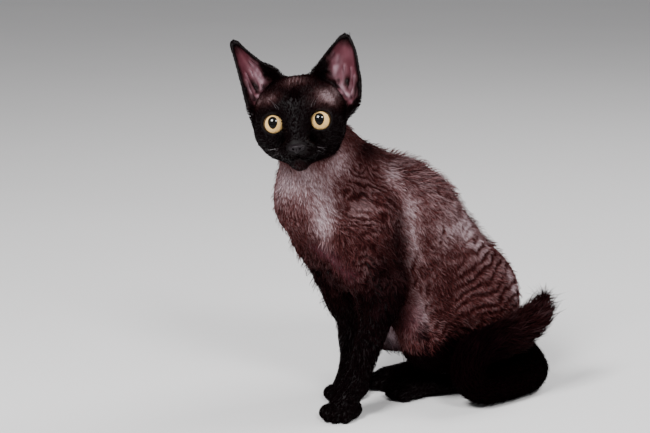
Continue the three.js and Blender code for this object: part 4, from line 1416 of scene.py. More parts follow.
@dataclass(frozen=True)
class CoatColours:
    """The colours that skin and coat share."""

    brown: Triple = (0.019, 0.0040, 0.0038)
    chestnut: Triple = (0.074, 0.0225, 0.0220)
    smoke: Triple = (0.176, 0.098, 0.101)
    # silver: the coat's pale silver, also reached by the painted sheen and highlights
    silver: Triple = (0.500, 0.385, 0.412)
    black: Triple = (0.0007, 0.0002, 0.0003)
    # umber: the painted highlight on the dark points, with their reddish tint
    umber: Triple = (0.0080, 0.0015, 0.0026)
    bare: Triple = (0.094, 0.024, 0.034)
    # blush: partly the bare skin's own pale mauve, partly the painted highlight on the ears' folds
    blush: Triple = (0.480, 0.330, 0.385)

    def colour(self, graph: Graph, lighten: Socket) -> Socket:
        """Mix the coat's colour from its markings, with painted highlight on its ripples' crests and painted
        shade in their troughs.

        Args:
            graph: The material's nodes.
            lighten: From 0, down in the coat, to 1, at the tips.

        Returns:
            The colour.
        """
        dark, silver, bare, wave = graph.channels("markings")
        # painted highlight: the coat is lighter on the ripples' crests, more so toward the tufts' tips, and
        # darker in the troughs
        crest_highlight = (wave * 1.3 + lighten * 0.5 - 0.4).clamp()
        level = (silver * (crest_highlight * 0.5 + 0.5) + crest_highlight * 0.34 + (lighten - 0.5) * 0.36 - 0.03).clamp()
        low = graph.mix((level * 4.0).clamp(), self.brown, self.chestnut)
        low = graph.mix((level * 4.0 - 1.0).clamp(), low, self.smoke)
        body = graph.mix((level * 2.0 - 1.0).clamp(), low, self.silver)
        # bare skin turns to blush with the silver value, which inside the ears is the painted highlight on
        # the folds
        skin = graph.mix(silver, self.bare, self.blush)
        body = graph.mix(bare, body, skin)
        # the dark points get a painted umber highlight on the ripples' crests and the tufts' tips
        points = graph.mix((lighten * wave).clamp(), self.black, self.umber)
        return graph.mix(dark, body, points)


@dataclass(frozen=True)
class SkinFinish:
    """The skin under the coat, with the same markings."""

    colours: CoatColours

    def material(self) -> Material:
        """Make the material."""
        graph = Graph("skin_under_coat")
        fine = graph.noise(900.0, 3.0)
        graph.put("Base Color", self.colours.colour(graph, (fine * 0.6).clamp()))
        graph.put("Roughness", (fine * 0.25 + 0.42).clamp())
        graph.put("Specular IOR Level", 0.10)
        graph.bump(graph.noise(1500.0, 3.0), 0.00025, 0.7)
        return graph.material


@dataclass(frozen=True)
class HairFinish:
    """The tufts of the coat: soft, with a painted highlight on the crests of its ripples."""

    colours: CoatColours

    def material(self) -> Material:
        """Make the material."""
        graph = Graph("rex_coat")
        tone = graph.number("tone")
        graph.put("Base Color", self.colours.colour(graph, tone))
        graph.put("Roughness", (0.62 - tone * 0.2).clamp())
        graph.put("Specular IOR Level", 0.004)
        graph.bump(graph.noise(2600.0, 2.0, (1, 1, 0.3)), 0.0001, 0.5)
        return graph.material


# Skin


@dataclass
class Skin:
    """One skin over head, ears, body, legs and tail."""

    body: Body
    place: Place
    markings: Markings
    cell: float = 0.96  # of the grid, before its lower part is spread
    head_middle: tuple[float, float] = (20.0, -35.0)  # the grid's middle, across and along
    body_middle: tuple[float, float] = (25.0, 62.0)  # where that middle comes to lie low down
    wider: tuple[float, float] = (1.66, 2.64)  # how much the grid is spread there
    spread_below: float = 238.0
    spread_over: float = 62.0  # from the head's width to the body's
    nodes = (
        "head", "lower_jaw", "neck", "chest", "belly", "rump", "ear_left", "ear_right",
        "tail_base", "tail_middle", "tail_bend", "tail_tip",
        *[limb.format(side) for side in ("left", "right") for limb in LIMB_NODES],
    )

    def make(self, finish: Material) -> Piece:
        """Mesh the skin, finer on the face, and paint its markings.

        Args:
            finish: The skin's material.

        Returns:
            The skin's object.
        """
        net = SurfaceNet(Ruled(-34, [(74, self.cell)]), Ruled(-94, [(24, self.cell)]),
                         Ruled(-4, [(196, 2.8), (216, 1.5), (334, self.cell)]), self.spread)
        self.points, self.quads = net.mesh(self.body.skin)
        made = build("skin", self.place(self.points), self.quads, finish)
        self.unwrap(made)
        groups = self.body.groups(self.points)
        paint(made, "markings", self.markings(self.points, groups))
        return made

    def spread(self, p: Array) -> Array:
        """Spread the grid's lower part from the head's width to the body's.

        Args:
            p: The grid's points.

        Returns:
            The points, spread.
        """
        x, y, z = p.T
        share = clamp((self.spread_below - z) / self.spread_over)
        share = share * share * (3 - 2 * share)
        wide = self.body_middle[0] + (x - self.head_middle[0]) * self.wider[0]
        deep = self.body_middle[1] + (y - self.head_middle[1]) * self.wider[1]
        return np.stack([x + (wide - x) * share, y + (deep - y) * share, z], axis=1)

    def unwrap(self, made: Piece) -> None:
        """Unwrap the skin by its own shape, and keep each quad's corners.

        Args:
            made: The skin.
        """
        bpy.context.view_layer.objects.active = made
        made.select_set(True)
        bpy.ops.object.mode_set(mode="EDIT")
        bpy.ops.mesh.select_all(action="SELECT")
        bpy.ops.uv.smart_project(angle_limit=math.radians(66), island_margin=0.002)
        bpy.ops.object.mode_set(mode="OBJECT")
        made.select_set(False)
        layer = made.data.uv_layers.active
        layer.name = "OFBake"
        flat = np.empty(2 * len(made.data.loops), np.float32)
        layer.data.foreach_get("uv", flat)
        self.corners = flat.reshape(len(self.quads), 4, 2)


# Coat


@dataclass(frozen=True)
class CoatStyle:
    """How the coat grows on one region, in millimetres."""

    density: float  # tufts on a square millimetre
    length: float
    width: float
    reach: float  # how far the tips stand out from the skin
    curl: float  # how far a tuft wanders sideways
    swirl: float  # how far tufts turn off the lie, in degrees
    ripple: float  # how much of its height comes and goes with the ripples


STYLES = {
    Region.HEAD: CoatStyle(1.0, 2.4, 0.5, 0.75, 0.1, 12, 0.0),
    Region.EAR: CoatStyle(0.7, 2.0, 0.45, 0.4, 0.1, 12, 0.0),
    Region.NECK: CoatStyle(0.68, 4.6, 0.7, 1.0, 0.5, 20, 0.6),
    Region.TRUNK: CoatStyle(0.63, 5.2, 0.78, 1.4, 0.7, 18, 0.9),
    Region.SHOULDER: CoatStyle(0.58, 6.0, 0.80, 1.9, 1.15, 24, 0.95),
    Region.FORELEG: CoatStyle(0.55, 4.5, 0.75, 1.3, 0.4, 16, 0.3),
    Region.FOREPAW: CoatStyle(0.88, 3.0, 0.6, 0.8, 0.1, 12, 0.0),
    Region.THIGH: CoatStyle(0.55, 6.0, 0.85, 1.7, 0.9, 24, 0.85),
    Region.HINDFOOT: CoatStyle(0.66, 3.4, 0.65, 0.9, 0.2, 12, 0.0),
    Region.TAIL: CoatStyle(0.45, 10.0, 1.0, 3.0, 0.8, 16, 0.0),
}
FUZZ = (  # where the head's fur stands up in tufts: centre and half breadth, in the head's frame
    ((13, 3, 36), 7.5), ((-19, 7, 37), 9.5), ((45, -3, 7), 9.0), ((-39, 0, 3), 8.0), ((0, -30, 17), 4.0),
)
SHORT = (Region.HEAD, Region.EAR, Region.FORELEG, Region.FOREPAW, Region.HINDFOOT)  # with one ring less


@dataclass
class Lie:
    """Which way the coat lies."""

    body: Body
    straight = {
        Region.NECK: (0.0, 0.35, -0.93), Region.TRUNK: (0.0, 0.55, -0.83), Region.SHOULDER: (0.0, 0.3, -0.95),
        Region.FORELEG: (0.0, -0.15, -0.98), Region.THIGH: (0.0, 0.62, -0.78),
    }

    def __call__(self, p: Array, weights: dict[Region, Array]) -> Array:
        """Find the lie of the coat.

        Args:
            p: Points in the cat's frame.
            weights: How much each region counts at each point.

        Returns:
            Unit vectors.
        """
        head = self.body.head
        q = head.into(p)
        from_nose = unit(q - (0, -40, -22)) @ head.axes.T
        up_ear = unit(q - (0, 0, 12)) @ head.axes.T
        total = weights[Region.HEAD][:, None] * from_nose + weights[Region.EAR][:, None] * up_ear
        for region, way in self.straight.items():
            total += weights[region][:, None] * way
        for region, ends in ((Region.FOREPAW, [(leg.wrist, leg.paw, leg.paw_yaw) for leg in LEGS]),
                             (Region.HINDFOOT, [(leg.hock, leg.toes, None) for leg in LEGS])):
            near = [lengths(p - np.add(a, b) / 2.0) for a, b, _ in ends]
            first = (near[0] < near[1])[:, None]
            ways = []
            for a, b, yaw in ends:
                way = np.subtract(b, a) if yaw is None else turned(yaw) @ (0, -1, -0.35)
                ways.append(unit(np.asarray(way, float)))
            total += weights[region][:, None] * np.where(first, ways[0], ways[1])
        share, _ = self.body.tail.nearest(p)
        total += weights[Region.TAIL][:, None] * self.body.tail.direction(share)
        return unit(total)


@dataclass
class Tufts:
    """Where tufts stand and how each is made."""

    roots: Array
    out: Array
    lie: Array
    length: Array
    width: Array
    reach: Array
    curl: Array
    ripple: Array
    free: Array  # from 0, held to the skin, to 1, free to run on past its end
    phase: Array
    marks: Array
    tone: Array
    corner: Array  # place on the skin's unwrap

    def part(self, keep: Array) -> "Tufts":
        """Return some of the tufts."""
        return Tufts(*(getattr(self, name)[keep] for name in self.__dataclass_fields__))


@dataclass
class Coat:
    """The coat: tapered tufts that follow the skin, its lie and its ripples."""

    body: Body
    skin: Skin
    markings: Markings
    place: Place
    seed: int = 3
    root: float = 0.35  # how deep a tuft is set
    patch: float = 0.003  # across a tuft's own patch of the unwrap
    most: int = 180000  # triangles in one piece
    floor: float = 0.05  # no tuft reaches lower
    lift = ((0, 0.4, 0.75, 1), (0, 0.55, 0.85, 1.0))  # shares of a tuft's length, and of its reach there
    taper = ((0, 0.35, 0.7, 1), (0.8, 1.0, 0.72, 0.0))  # shares of its length, and of its width there

    def __post_init__(self) -> None:
        """Start the lie and the random draws."""
        self.lie = Lie(self.body)
        self.draw = np.random.default_rng(self.seed)

    def weights(self, groups: dict[Region, Array]) -> dict[Region, Array]:
        """Turn distances to the regions into shares.

        Args:
            groups: The distances.

        Returns:
            Shares that add up to 1.
        """
        nearest = np.minimum.reduce(list(groups.values()))
        raw = {region: np.exp(-(d - nearest) / 3.0) for region, d in groups.items()}
        total = sum(raw.values())
        return {region: value / total for region, value in raw.items()}

    def style(self, weights: dict[Region, Array], name: str) -> Array:
        """Mix one size of the coat from the regions' styles."""
        return sum(share * getattr(STYLES[region], name) for region, share in weights.items())

    def bald(self, p: Array, groups: dict[Region, Array], marks: Array) -> Array:
        """Find how much of the coat is missing.

        Args:
            p: Points in the cat's frame.
            groups: Distances to each region.
            marks: The markings there.

        Returns:
            From 0, full coat, to 1, none.
        """
        head = self.body.head
        q = head.into(p)
        gone = np.zeros(len(p))
        for side in BOTH:
            away = lengths(q - head.eye(side))
            inside_rim = (head.opening(q, side) < 0.7) & (away < 13.5)
            gone = np.maximum(gone, (away < head.eye_radius + 0.5) | inside_rim)
        nose = lengths((q - (0, -41.5, -23.8)) / (7.2, 6.5, 5.4)) < 1
        lips = (np.abs(q[:, 2] - head.mouth_line(q[:, 0])) < 0.9) & (q[:, 1] < -12) & (np.abs(q[:, 0]) < 14)
        gone = np.maximum(gone, nose | lips)
        gone = np.maximum(gone, 0.72 * marks[:, 2])
        gone = np.maximum(gone, p[:, 2] < 1.0)
        on_ear = np.flatnonzero((groups[Region.EAR] < 2.0) & (groups[Region.EAR] < groups[Region.HEAD]))
        if len(on_ear):
            gone[on_ear] = np.maximum(gone[on_ear], clamp(2.2 * self.body.ear_inside(q[on_ear])[0]))
        return gone

    def fuzz(self, p: Array) -> Array:
        """Find where the head's fur stands up in tufts.

        Args:
            p: Points in the cat's frame.

        Returns:
            How much it does, from 0 to 1.
        """
        q = self.body.head.into(p)
        most = np.zeros(len(p))
        for centre, half in FUZZ:
            away = lengths(q - centre) / half
            most = np.maximum(most, clamp(1.5 - away))
        return most

    def fringe(self, p: Array, out: Array, weights: dict[Region, Array]) -> Array:
        """Find where the coat stands off the outline: along the back, and down the breast and forelegs.

        Args:
            p: Points in the cat's frame.
            out: The skin's directions there.
            weights: How much each region counts there.

        Returns:
            From 0, lying flat, to 1.
        """
        back = weights[Region.TRUNK] * clamp((0.5 * out[:, 1] + 0.85 * out[:, 2] - 0.45) * 2.5)
        back = 0.8 * back * clamp((p[:, 2] - 112) / 20)
        low = clamp((p[:, 2] - 70) / 30) * clamp((150 - p[:, 2]) / 20)
        fore = (weights[Region.SHOULDER] + weights[Region.FORELEG] + weights[Region.TRUNK]) * low
        front = clamp(-1.6 * out[:, 1] - 0.2)
        far_side = clamp((12 - p[:, 0]) / 10)
        return np.maximum(back, fore * front * 0.3 * far_side)

    def scatter(self) -> tuple[Tufts, Array]:
        """Set tufts over the skin.

        Returns:
            The tufts, and the region that each belongs to.
        """
        p, quads = self.skin.points, self.skin.quads
        corners = p[quads]
        middle = corners.mean(axis=1)
        one, other = corners[:, 2] - corners[:, 0], corners[:, 3] - corners[:, 1]
        area = 0.5 * lengths(np.cross(one, other))
        groups = self.body.groups(middle)
        weights = self.weights(groups)
        marks = self.markings(middle, groups)
        wanted = self.style(weights, "density") * area * (1 - self.bald(middle, groups, marks))
        count = np.floor(wanted + self.draw.random(len(wanted))).astype(int)
        at = np.repeat(np.arange(len(quads)), count)
        s, t = self.draw.random((2, len(at)))
        share = np.stack([(1 - s) * (1 - t), s * (1 - t), s * t, (1 - s) * t], axis=1)
        roots = (corners[at] * share[..., None]).sum(1)
        n = len(roots)
        groups = self.body.groups(roots)
        weights = self.weights(groups)
        marks = self.markings(roots, groups)
        keep = self.draw.random(n) >= self.bald(roots, groups, marks) ** 3
        out = unit(slope(self.body.skin, roots, 0.3))
        lie = self.lie(roots, weights)
        swirl = np.radians(self.style(weights, "swirl"))
        angle = 0.6 * self.draw.standard_normal(n) + 1.2 * self.body.noise(roots + 7, 7.0)
        angle = swirl * angle * (1 - 0.5 * marks[:, 1])
        lie = unit(lie - out * (lie * out).sum(1, keepdims=True))
        lie = lie * np.cos(angle)[:, None] + np.cross(out, lie) * np.sin(angle)[:, None]
        vary = np.exp(0.18 * self.draw.standard_normal(n))
        locks = clamp((self.body.noise(roots + 70, 4.5) - 0.15) * 3.0)
        fringe = self.fringe(roots, out, weights)
        stray = np.where(self.draw.random(n) < 0.05 + 0.22 * locks + 0.15 * fringe, 1.0, 0.0)
        fuzz = self.fuzz(roots)
        along = self.body.tail.nearest(roots)[0]
        brush = weights[Region.TAIL] * clamp((along - self.body.tail.brush) / 0.2)
        sleek = marks[:, 1] * (1 - marks[:, 0])
        grown = vary * (1 + 0.3 * stray + 1.1 * fuzz + 0.75 * brush) * (1 - 0.3 * sleek) * (1 + 0.3 * fringe)
        regions = list(STYLES)
        region = np.argmax(np.stack([weights[r] for r in regions]), axis=0)
        fine = np.isin(region, [regions.index(r) for r in SHORT])
        loose = stray * np.where(fine, 0.8, 2.2) * (1 - 0.8 * weights[Region.TAIL])
        tufts = Tufts(
            roots, out, lie,
            self.style(weights, "length") * grown,
            self.style(weights, "width") * (0.75 + 0.5 * self.draw.random(n)) * (1 + 0.5 * fuzz),
            self.style(weights, "reach") * (0.6 + 0.6 * self.draw.random(n))
            * (1 + loose + 3.2 * fuzz + 1.1 * brush) * (1 - 0.45 * sleek) * (1 + 0.9 * fringe),
            self.style(weights, "curl") * self.draw.standard_normal(n) * (1 - 0.6 * sleek),
            self.style(weights, "ripple") * (1 - 0.6 * sleek),
            brush,
            2 * np.pi * self.draw.random(n),
            marks,
            self.draw.random(n),
            (self.skin.corners[at] * share[..., None]).sum(1),
        )
        return tufts.part(keep), region[keep]

    def counts(self, steps: Sequence[float]) -> list[int]:
        """Return how many vertices a tuft has at each of its rings, and at its tip."""
        return [3] * (len(steps) - 1) + [1]

    def shape(self, tufts: Tufts, steps: Sequence[float]) -> tuple[Array, Array, Array, Array]:
        """Make tufts' meshes.

        Args:
            tufts: The tufts.
            steps: Shares of a tuft's length at which it has a ring; the last is its tip.

        Returns:
            Vertices, triangles, and each vertex's ripple and unwrap place.
        """
        n = len(tufts.roots)
        normal, heading = tufts.out, tufts.lie
        place = tufts.roots.copy()
        rings, waves = [], []
        last = 0.0
        for step in steps:
            side = np.cross(normal, heading)
            sway = np.sin(2.4 * np.pi * step + tufts.phase) - np.sin(2.4 * np.pi * last + tufts.phase)
            run = tufts.length * (step - last)
            place = place + heading * run[:, None] + side * (tufts.curl * sway * 0.5)[:, None]
            here = self.body.skin(place)
            if step > 0:
                normal = unit(slope(self.body.skin, place, 0.4, here))
            held = 1 - 0.92 * tufts.free * clamp(2 * step) * (here > 0)
            surface = place - normal * (here * held)[:, None]
            wave, strength = self.body.wave(surface)
            if step > 0:
                beside, _ = self.body.wave(surface + side * 0.6)
                pull = np.clip((beside - wave) / 0.6, -1, 1) * tufts.ripple * strength * tufts.length * 0.16
                place = place + side * pull[:, None]
                surface = surface + side * pull[:, None]
            lift = np.interp(step, *self.lift) * tufts.reach
            lift = lift * (1 - tufts.ripple * strength * (0.5 - 0.5 * wave))
            centre = surface + normal * (lift - (self.root if step == 0 else 0))[:, None]
            place = surface
            heading = unit(heading - normal * ((heading * normal).sum(1) * held)[:, None])
            width = (tufts.width * np.interp(step, *self.taper) / 2.0)[:, None]
            # the ripple value at each ring, which the finish paints as highlight on crests and shade in
            # troughs
            waves.append(0.5 + 0.5 * wave * strength)
            if step == steps[-1]:
                rings.append(centre[:, None])
            else:
                side = np.cross(normal, heading) * width
                rings.append(np.stack([centre - side, centre + side, centre + normal * width * 0.55], axis=1))
            last = step
        points = np.concatenate(rings, axis=1)
        points[..., 2] = np.maximum(points[..., 2], self.floor)
        faces = [(0, 1, 2)]
        for ring in range(len(steps) - 2):
            a, b = 3 * ring, 3 * ring + 3
            for i in range(3):
                j = (i + 1) % 3
                faces += [(a + i, b + i, b + j), (a + i, b + j, a + j)]
        tip = 3 * (len(steps) - 1)
        faces += [(tip - 3 + i, tip, tip - 3 + (i + 1) % 3) for i in range(3)]
        each = points.shape[1]
        triangles = np.asarray(faces)[None] + (np.arange(n) * each)[:, None, None]
        sample = points[0][np.asarray(faces)]
        volume = np.einsum("ij,ij->i", sample[:, 0], np.cross(sample[:, 1], sample[:, 2])).sum()
        if volume < 0:
            triangles = triangles[..., ::-1]
        ripple = np.repeat(np.stack(waves, axis=1), self.counts(steps), axis=1)
        turn = np.tile([-0.5, 0.5, 0.0], len(steps))[:each]
        patch = self.patch * np.stack([turn, np.repeat(steps, self.counts(steps)) - 0.5], axis=1)
        unwrap = tufts.corner[:, None, :] + patch[None]
        return points.reshape(-1, 3), triangles.reshape(-1, 3), ripple.ravel(), unwrap.reshape(-1, 2)

    def piece(self, name: str, tufts: Tufts, steps: Sequence[float], finish: Material) -> Piece:
        """Make one piece of the coat.

        Args:
            name: Its name.
            tufts: Its tufts.
            steps: Where along a tuft its rings are.
            finish: Its material.

        Returns:
            The object.
        """
        points, triangles, ripple, unwrap = self.shape(tufts, steps)
        made = build(name, self.place(points), triangles, finish)
        each = len(points) // len(tufts.roots)
        marks = np.repeat(tufts.marks, each, axis=0)
        # the fourth value is the ripple, painted as highlight and shade by the finish
        marks[:, 3] = ripple
        paint(made, "markings", marks)
        rise = np.tile(np.repeat(steps, self.counts(steps)), len(tufts.roots))
        paint(made, "tone", np.repeat(tufts.tone, each) * 0.6 + 0.4 * rise)
        layer = made.data.uv_layers.new(name="OFBake")
        layer.data.foreach_set("uv", packed(unwrap[triangles.ravel()]))
        return made

    def make(self, finish: Material) -> list[Piece]:
        """Make the whole coat.

        Args:
            finish: Its material.

        Returns:
            Its pieces, each under the limit of triangles.
        """
        tufts, belongs = self.scatter()
        made = []
        for index, region in enumerate(STYLES):
            steps = (0.0, 0.5, 1.0) if region in SHORT else (0.0, 0.32, 0.66, 1.0)
            each = 6 * len(steps) - 8  # triangles of a tuft
            mine = np.flatnonzero(belongs == index)
            mine = mine[np.argsort(tufts.roots[mine, 2], kind="stable")]
            parts = np.array_split(mine, max(1, math.ceil(len(mine) * each / self.most)))
            for number, part in enumerate(parts):
                if len(part):
                    label = f"coat_{region.name.lower()}_{number + 1}"
                    made.append(self.piece(label, tufts.part(part), steps, finish))
        return made


# Eyes, nose and whiskers


@dataclass(frozen=True)
class EyeFinish:
    """A pale gold iris round a tall pupil, under a wet, clear surface whose reflection is weakened low on the
    eye as painted shade of the lower lid.
    """

    gold: Triple = (0.735, 0.475, 0.190)
    amber: Triple = (0.42, 0.24, 0.06)
    rim: Triple = (0.05, 0.03, 0.015)
    pupil: Triple = (0.002, 0.002, 0.002)

    def material(self) -> Material:
        """Make the material, which reads each eye's own ring and streak attributes."""
        graph = Graph("wet_eye")
        ring = graph.number("ring")
        hole = graph.number("hole")
        streak = graph.number("streak")
        iris = graph.mix((streak * 0.45).clamp(), self.gold, self.amber)
        inner = ((0.62 - ring) * 3.0).clamp()
        iris = graph.mix(inner * 0.25, iris, self.amber)
        edge = ((ring - 0.93) * 14.0).clamp()
        iris = graph.mix(edge, iris, self.rim)
        graph.put("Base Color", graph.mix(((1.0 - hole) * 12.0 + 0.5).clamp(), iris, self.pupil))
        graph.put("Roughness", 0.4)
        graph.put("Specular IOR Level", 0.0)
        graph.put("Coat Weight", graph.number("wet").clamp())
        graph.put("Coat IOR", 1.4)
        graph.put("Coat Roughness", 0.015)
        return graph.material


@dataclass
class Eye:
    """An eyeball with its cornea's bulge, looking at the viewer."""

    head: Head
    side: int
    place: Place
    gap: float = 0.08  # from the eyeball to its socket
    bulge: float = 0.55  # of the cornea
    seed: int = 9
    across: int = 96
    down: int = 64
    iris: float = 47.0  # degrees from the eye's axis to the iris's rim
    pupil_half: tuple[float, float] = (4.5, 5.0)
    gaze: tuple[float, float] = (2.0, -4.0)  # degrees to the cat's left, and up
    centre: tuple[float, float] = (-0.6, 1.4)  # the pupil's middle on the iris

    def make(self, finish: Material) -> Piece:
        """Mesh the eyeball and measure its iris and pupil.

        Args:
            finish: The eye's material.

        Returns:
            The object.
        """
        radius = self.head.eye_radius - self.gap
        ring = (np.linspace(0, 1, self.down + 1) ** 1.25 * math.pi)[1:-1]  # closer together in front
        angle = 2 * np.pi * np.arange(self.across) / self.across
        theta, phi = np.meshgrid(ring, angle, indexing="ij")
        x, z = np.sin(theta) * np.cos(phi), np.sin(theta) * np.sin(phi)
        y = -np.cos(theta)
        points = np.concatenate([[[0, -1, 0]], np.stack([x, y, z], -1).reshape(-1, 3), [[0, 1, 0]]])
        away = np.degrees(np.arccos(np.clip(-points[:, 1], -1, 1)))
        bulge = self.bulge * clamp(1 - (away / self.iris) ** 2)
        local = points * (radius + bulge)[:, None]
        faces = []
        for j in range(self.across):
            k = (j + 1) % self.across
            faces.append((0, 1 + k, 1 + j))
            bottom = 1 + (len(ring) - 1) * self.across
            faces.append((len(points) - 1, bottom + j, bottom + k))
            for i in range(len(ring) - 1):
                a, b = 1 + i * self.across, 1 + (i + 1) * self.across
                faces += [(a + j, a + k, b + k), (a + j, b + k, b + j)]
        turn = turned(self.gaze[0], self.gaze[1])
        solid = self.head.out(local @ turn.T + self.head.eye(self.side))
        name = "eyeball_left" if self.side > 0 else "eyeball_right"
        made = build(name, self.place(solid), np.asarray(faces), finish)
        flat = local[:, [0, 2]] - (self.centre[0] + 0.2 * self.side, self.centre[1])
        width, height = self.pupil_half
        taper = width * np.clip(0.86 + 0.14 * flat[:, 1] / height, 0.6, 1.0)
        paint(made, "ring", away / self.iris)
        hole = np.hypot(flat[:, 0] / taper, flat[:, 1] / height)
        paint(made, "hole", np.where(points[:, 1] < 0, hole, 9.0))  # none on the eyeball's back
        spoke = np.arctan2(flat[:, 1], flat[:, 0])
        phases = 6.28 * np.random.default_rng(self.seed).random(3)
        streak = sum(np.sin(spoke * k + p) for k, p in zip((17, 29, 41), phases)) / 3.0
        paint(made, "streak", clamp(0.4 + 0.4 * streak))
        # the clear coat is weaker low on the eye: painted shade of the lower lid on its reflection
        paint(made, "wet", np.clip(0.62 + local[:, 2] / 4.0, 0.22, 1))
        return made


@dataclass(frozen=True)
class LeatherFinish:
    """The nose's fine-grained leather, mauve grey and a little moist."""

    light: Triple = (0.0095, 0.0045, 0.0068)
    deep: Triple = (0.004, 0.002, 0.003)

    def material(self) -> Material:
        """Make the material."""
        graph = Graph("nose_leather")
        grain = graph.noise(2400.0, 3.0)
        graph.put("Base Color", graph.mix(((grain - 0.35) * 2.0).clamp(), self.deep, self.light))
        graph.put("Roughness", (0.62 - grain * 0.25).clamp())
        graph.put("Specular IOR Level", 0.2)
        graph.bump(grain, 0.0002, 0.8)
        return graph.material


@dataclass
class Nose:
    """The nose pad with its two comma-shaped nostrils and middle groove."""

    head: Head
    place: Place
    centre: Triple = (0, -41.4, -23.5)
    cell: float = 0.3
    box = ((-8, 8), (-48, -35), (-31, -17))  # across, along and up, that the pad is meshed in

    def form(self, q: Array) -> Array:
        """Measure points against the nose.

        Args:
            q: Points in the head's frame.

        Returns:
            Distances, below 0 inside.
        """
        pad = blend(2.2, [
            Egg(self.centre, (5.6, 4.2, 2.7)),
            *[Egg((s * 4.1, -39.9, -24.0), (2.8, 3.3, 2.3)) for s in BOTH],
            Egg((0, -41.0, -26.2), (1.7, 2.8, 2.2)),
        ])(q)
        for s in BOTH:
            inner = Bone((s * 2.0, -47.5, -24.9), (s * 2.8, -42.8, -24.7), 0.95, 0.75)(q)
            slit = Bone((s * 2.9, -45.6, -24.6), (s * 5.4, -43.2, -23.3), 0.75, 0.4)(q)
            pad = smooth_max(pad, -smooth_min(inner, slit, 0.8), 0.5)
        groove = np.maximum(np.abs(q[:, 0]) - 0.16, q[:, 2] + 24.2)
        groove = np.maximum(groove, q[:, 1] + 43.5)
        return smooth_max(pad, -groove, 0.5)

    def make(self, finish: Material) -> Piece:
        """Mesh the nose.

        Args:
            finish: Its material.

        Returns:
            The object.
        """
        net = SurfaceNet(*(Ruled(low, [(high, self.cell)]) for low, high in self.box))
        points, quads = net.mesh(self.form)
        return build("nose_pad", self.place(self.head.out(points)), quads, finish)


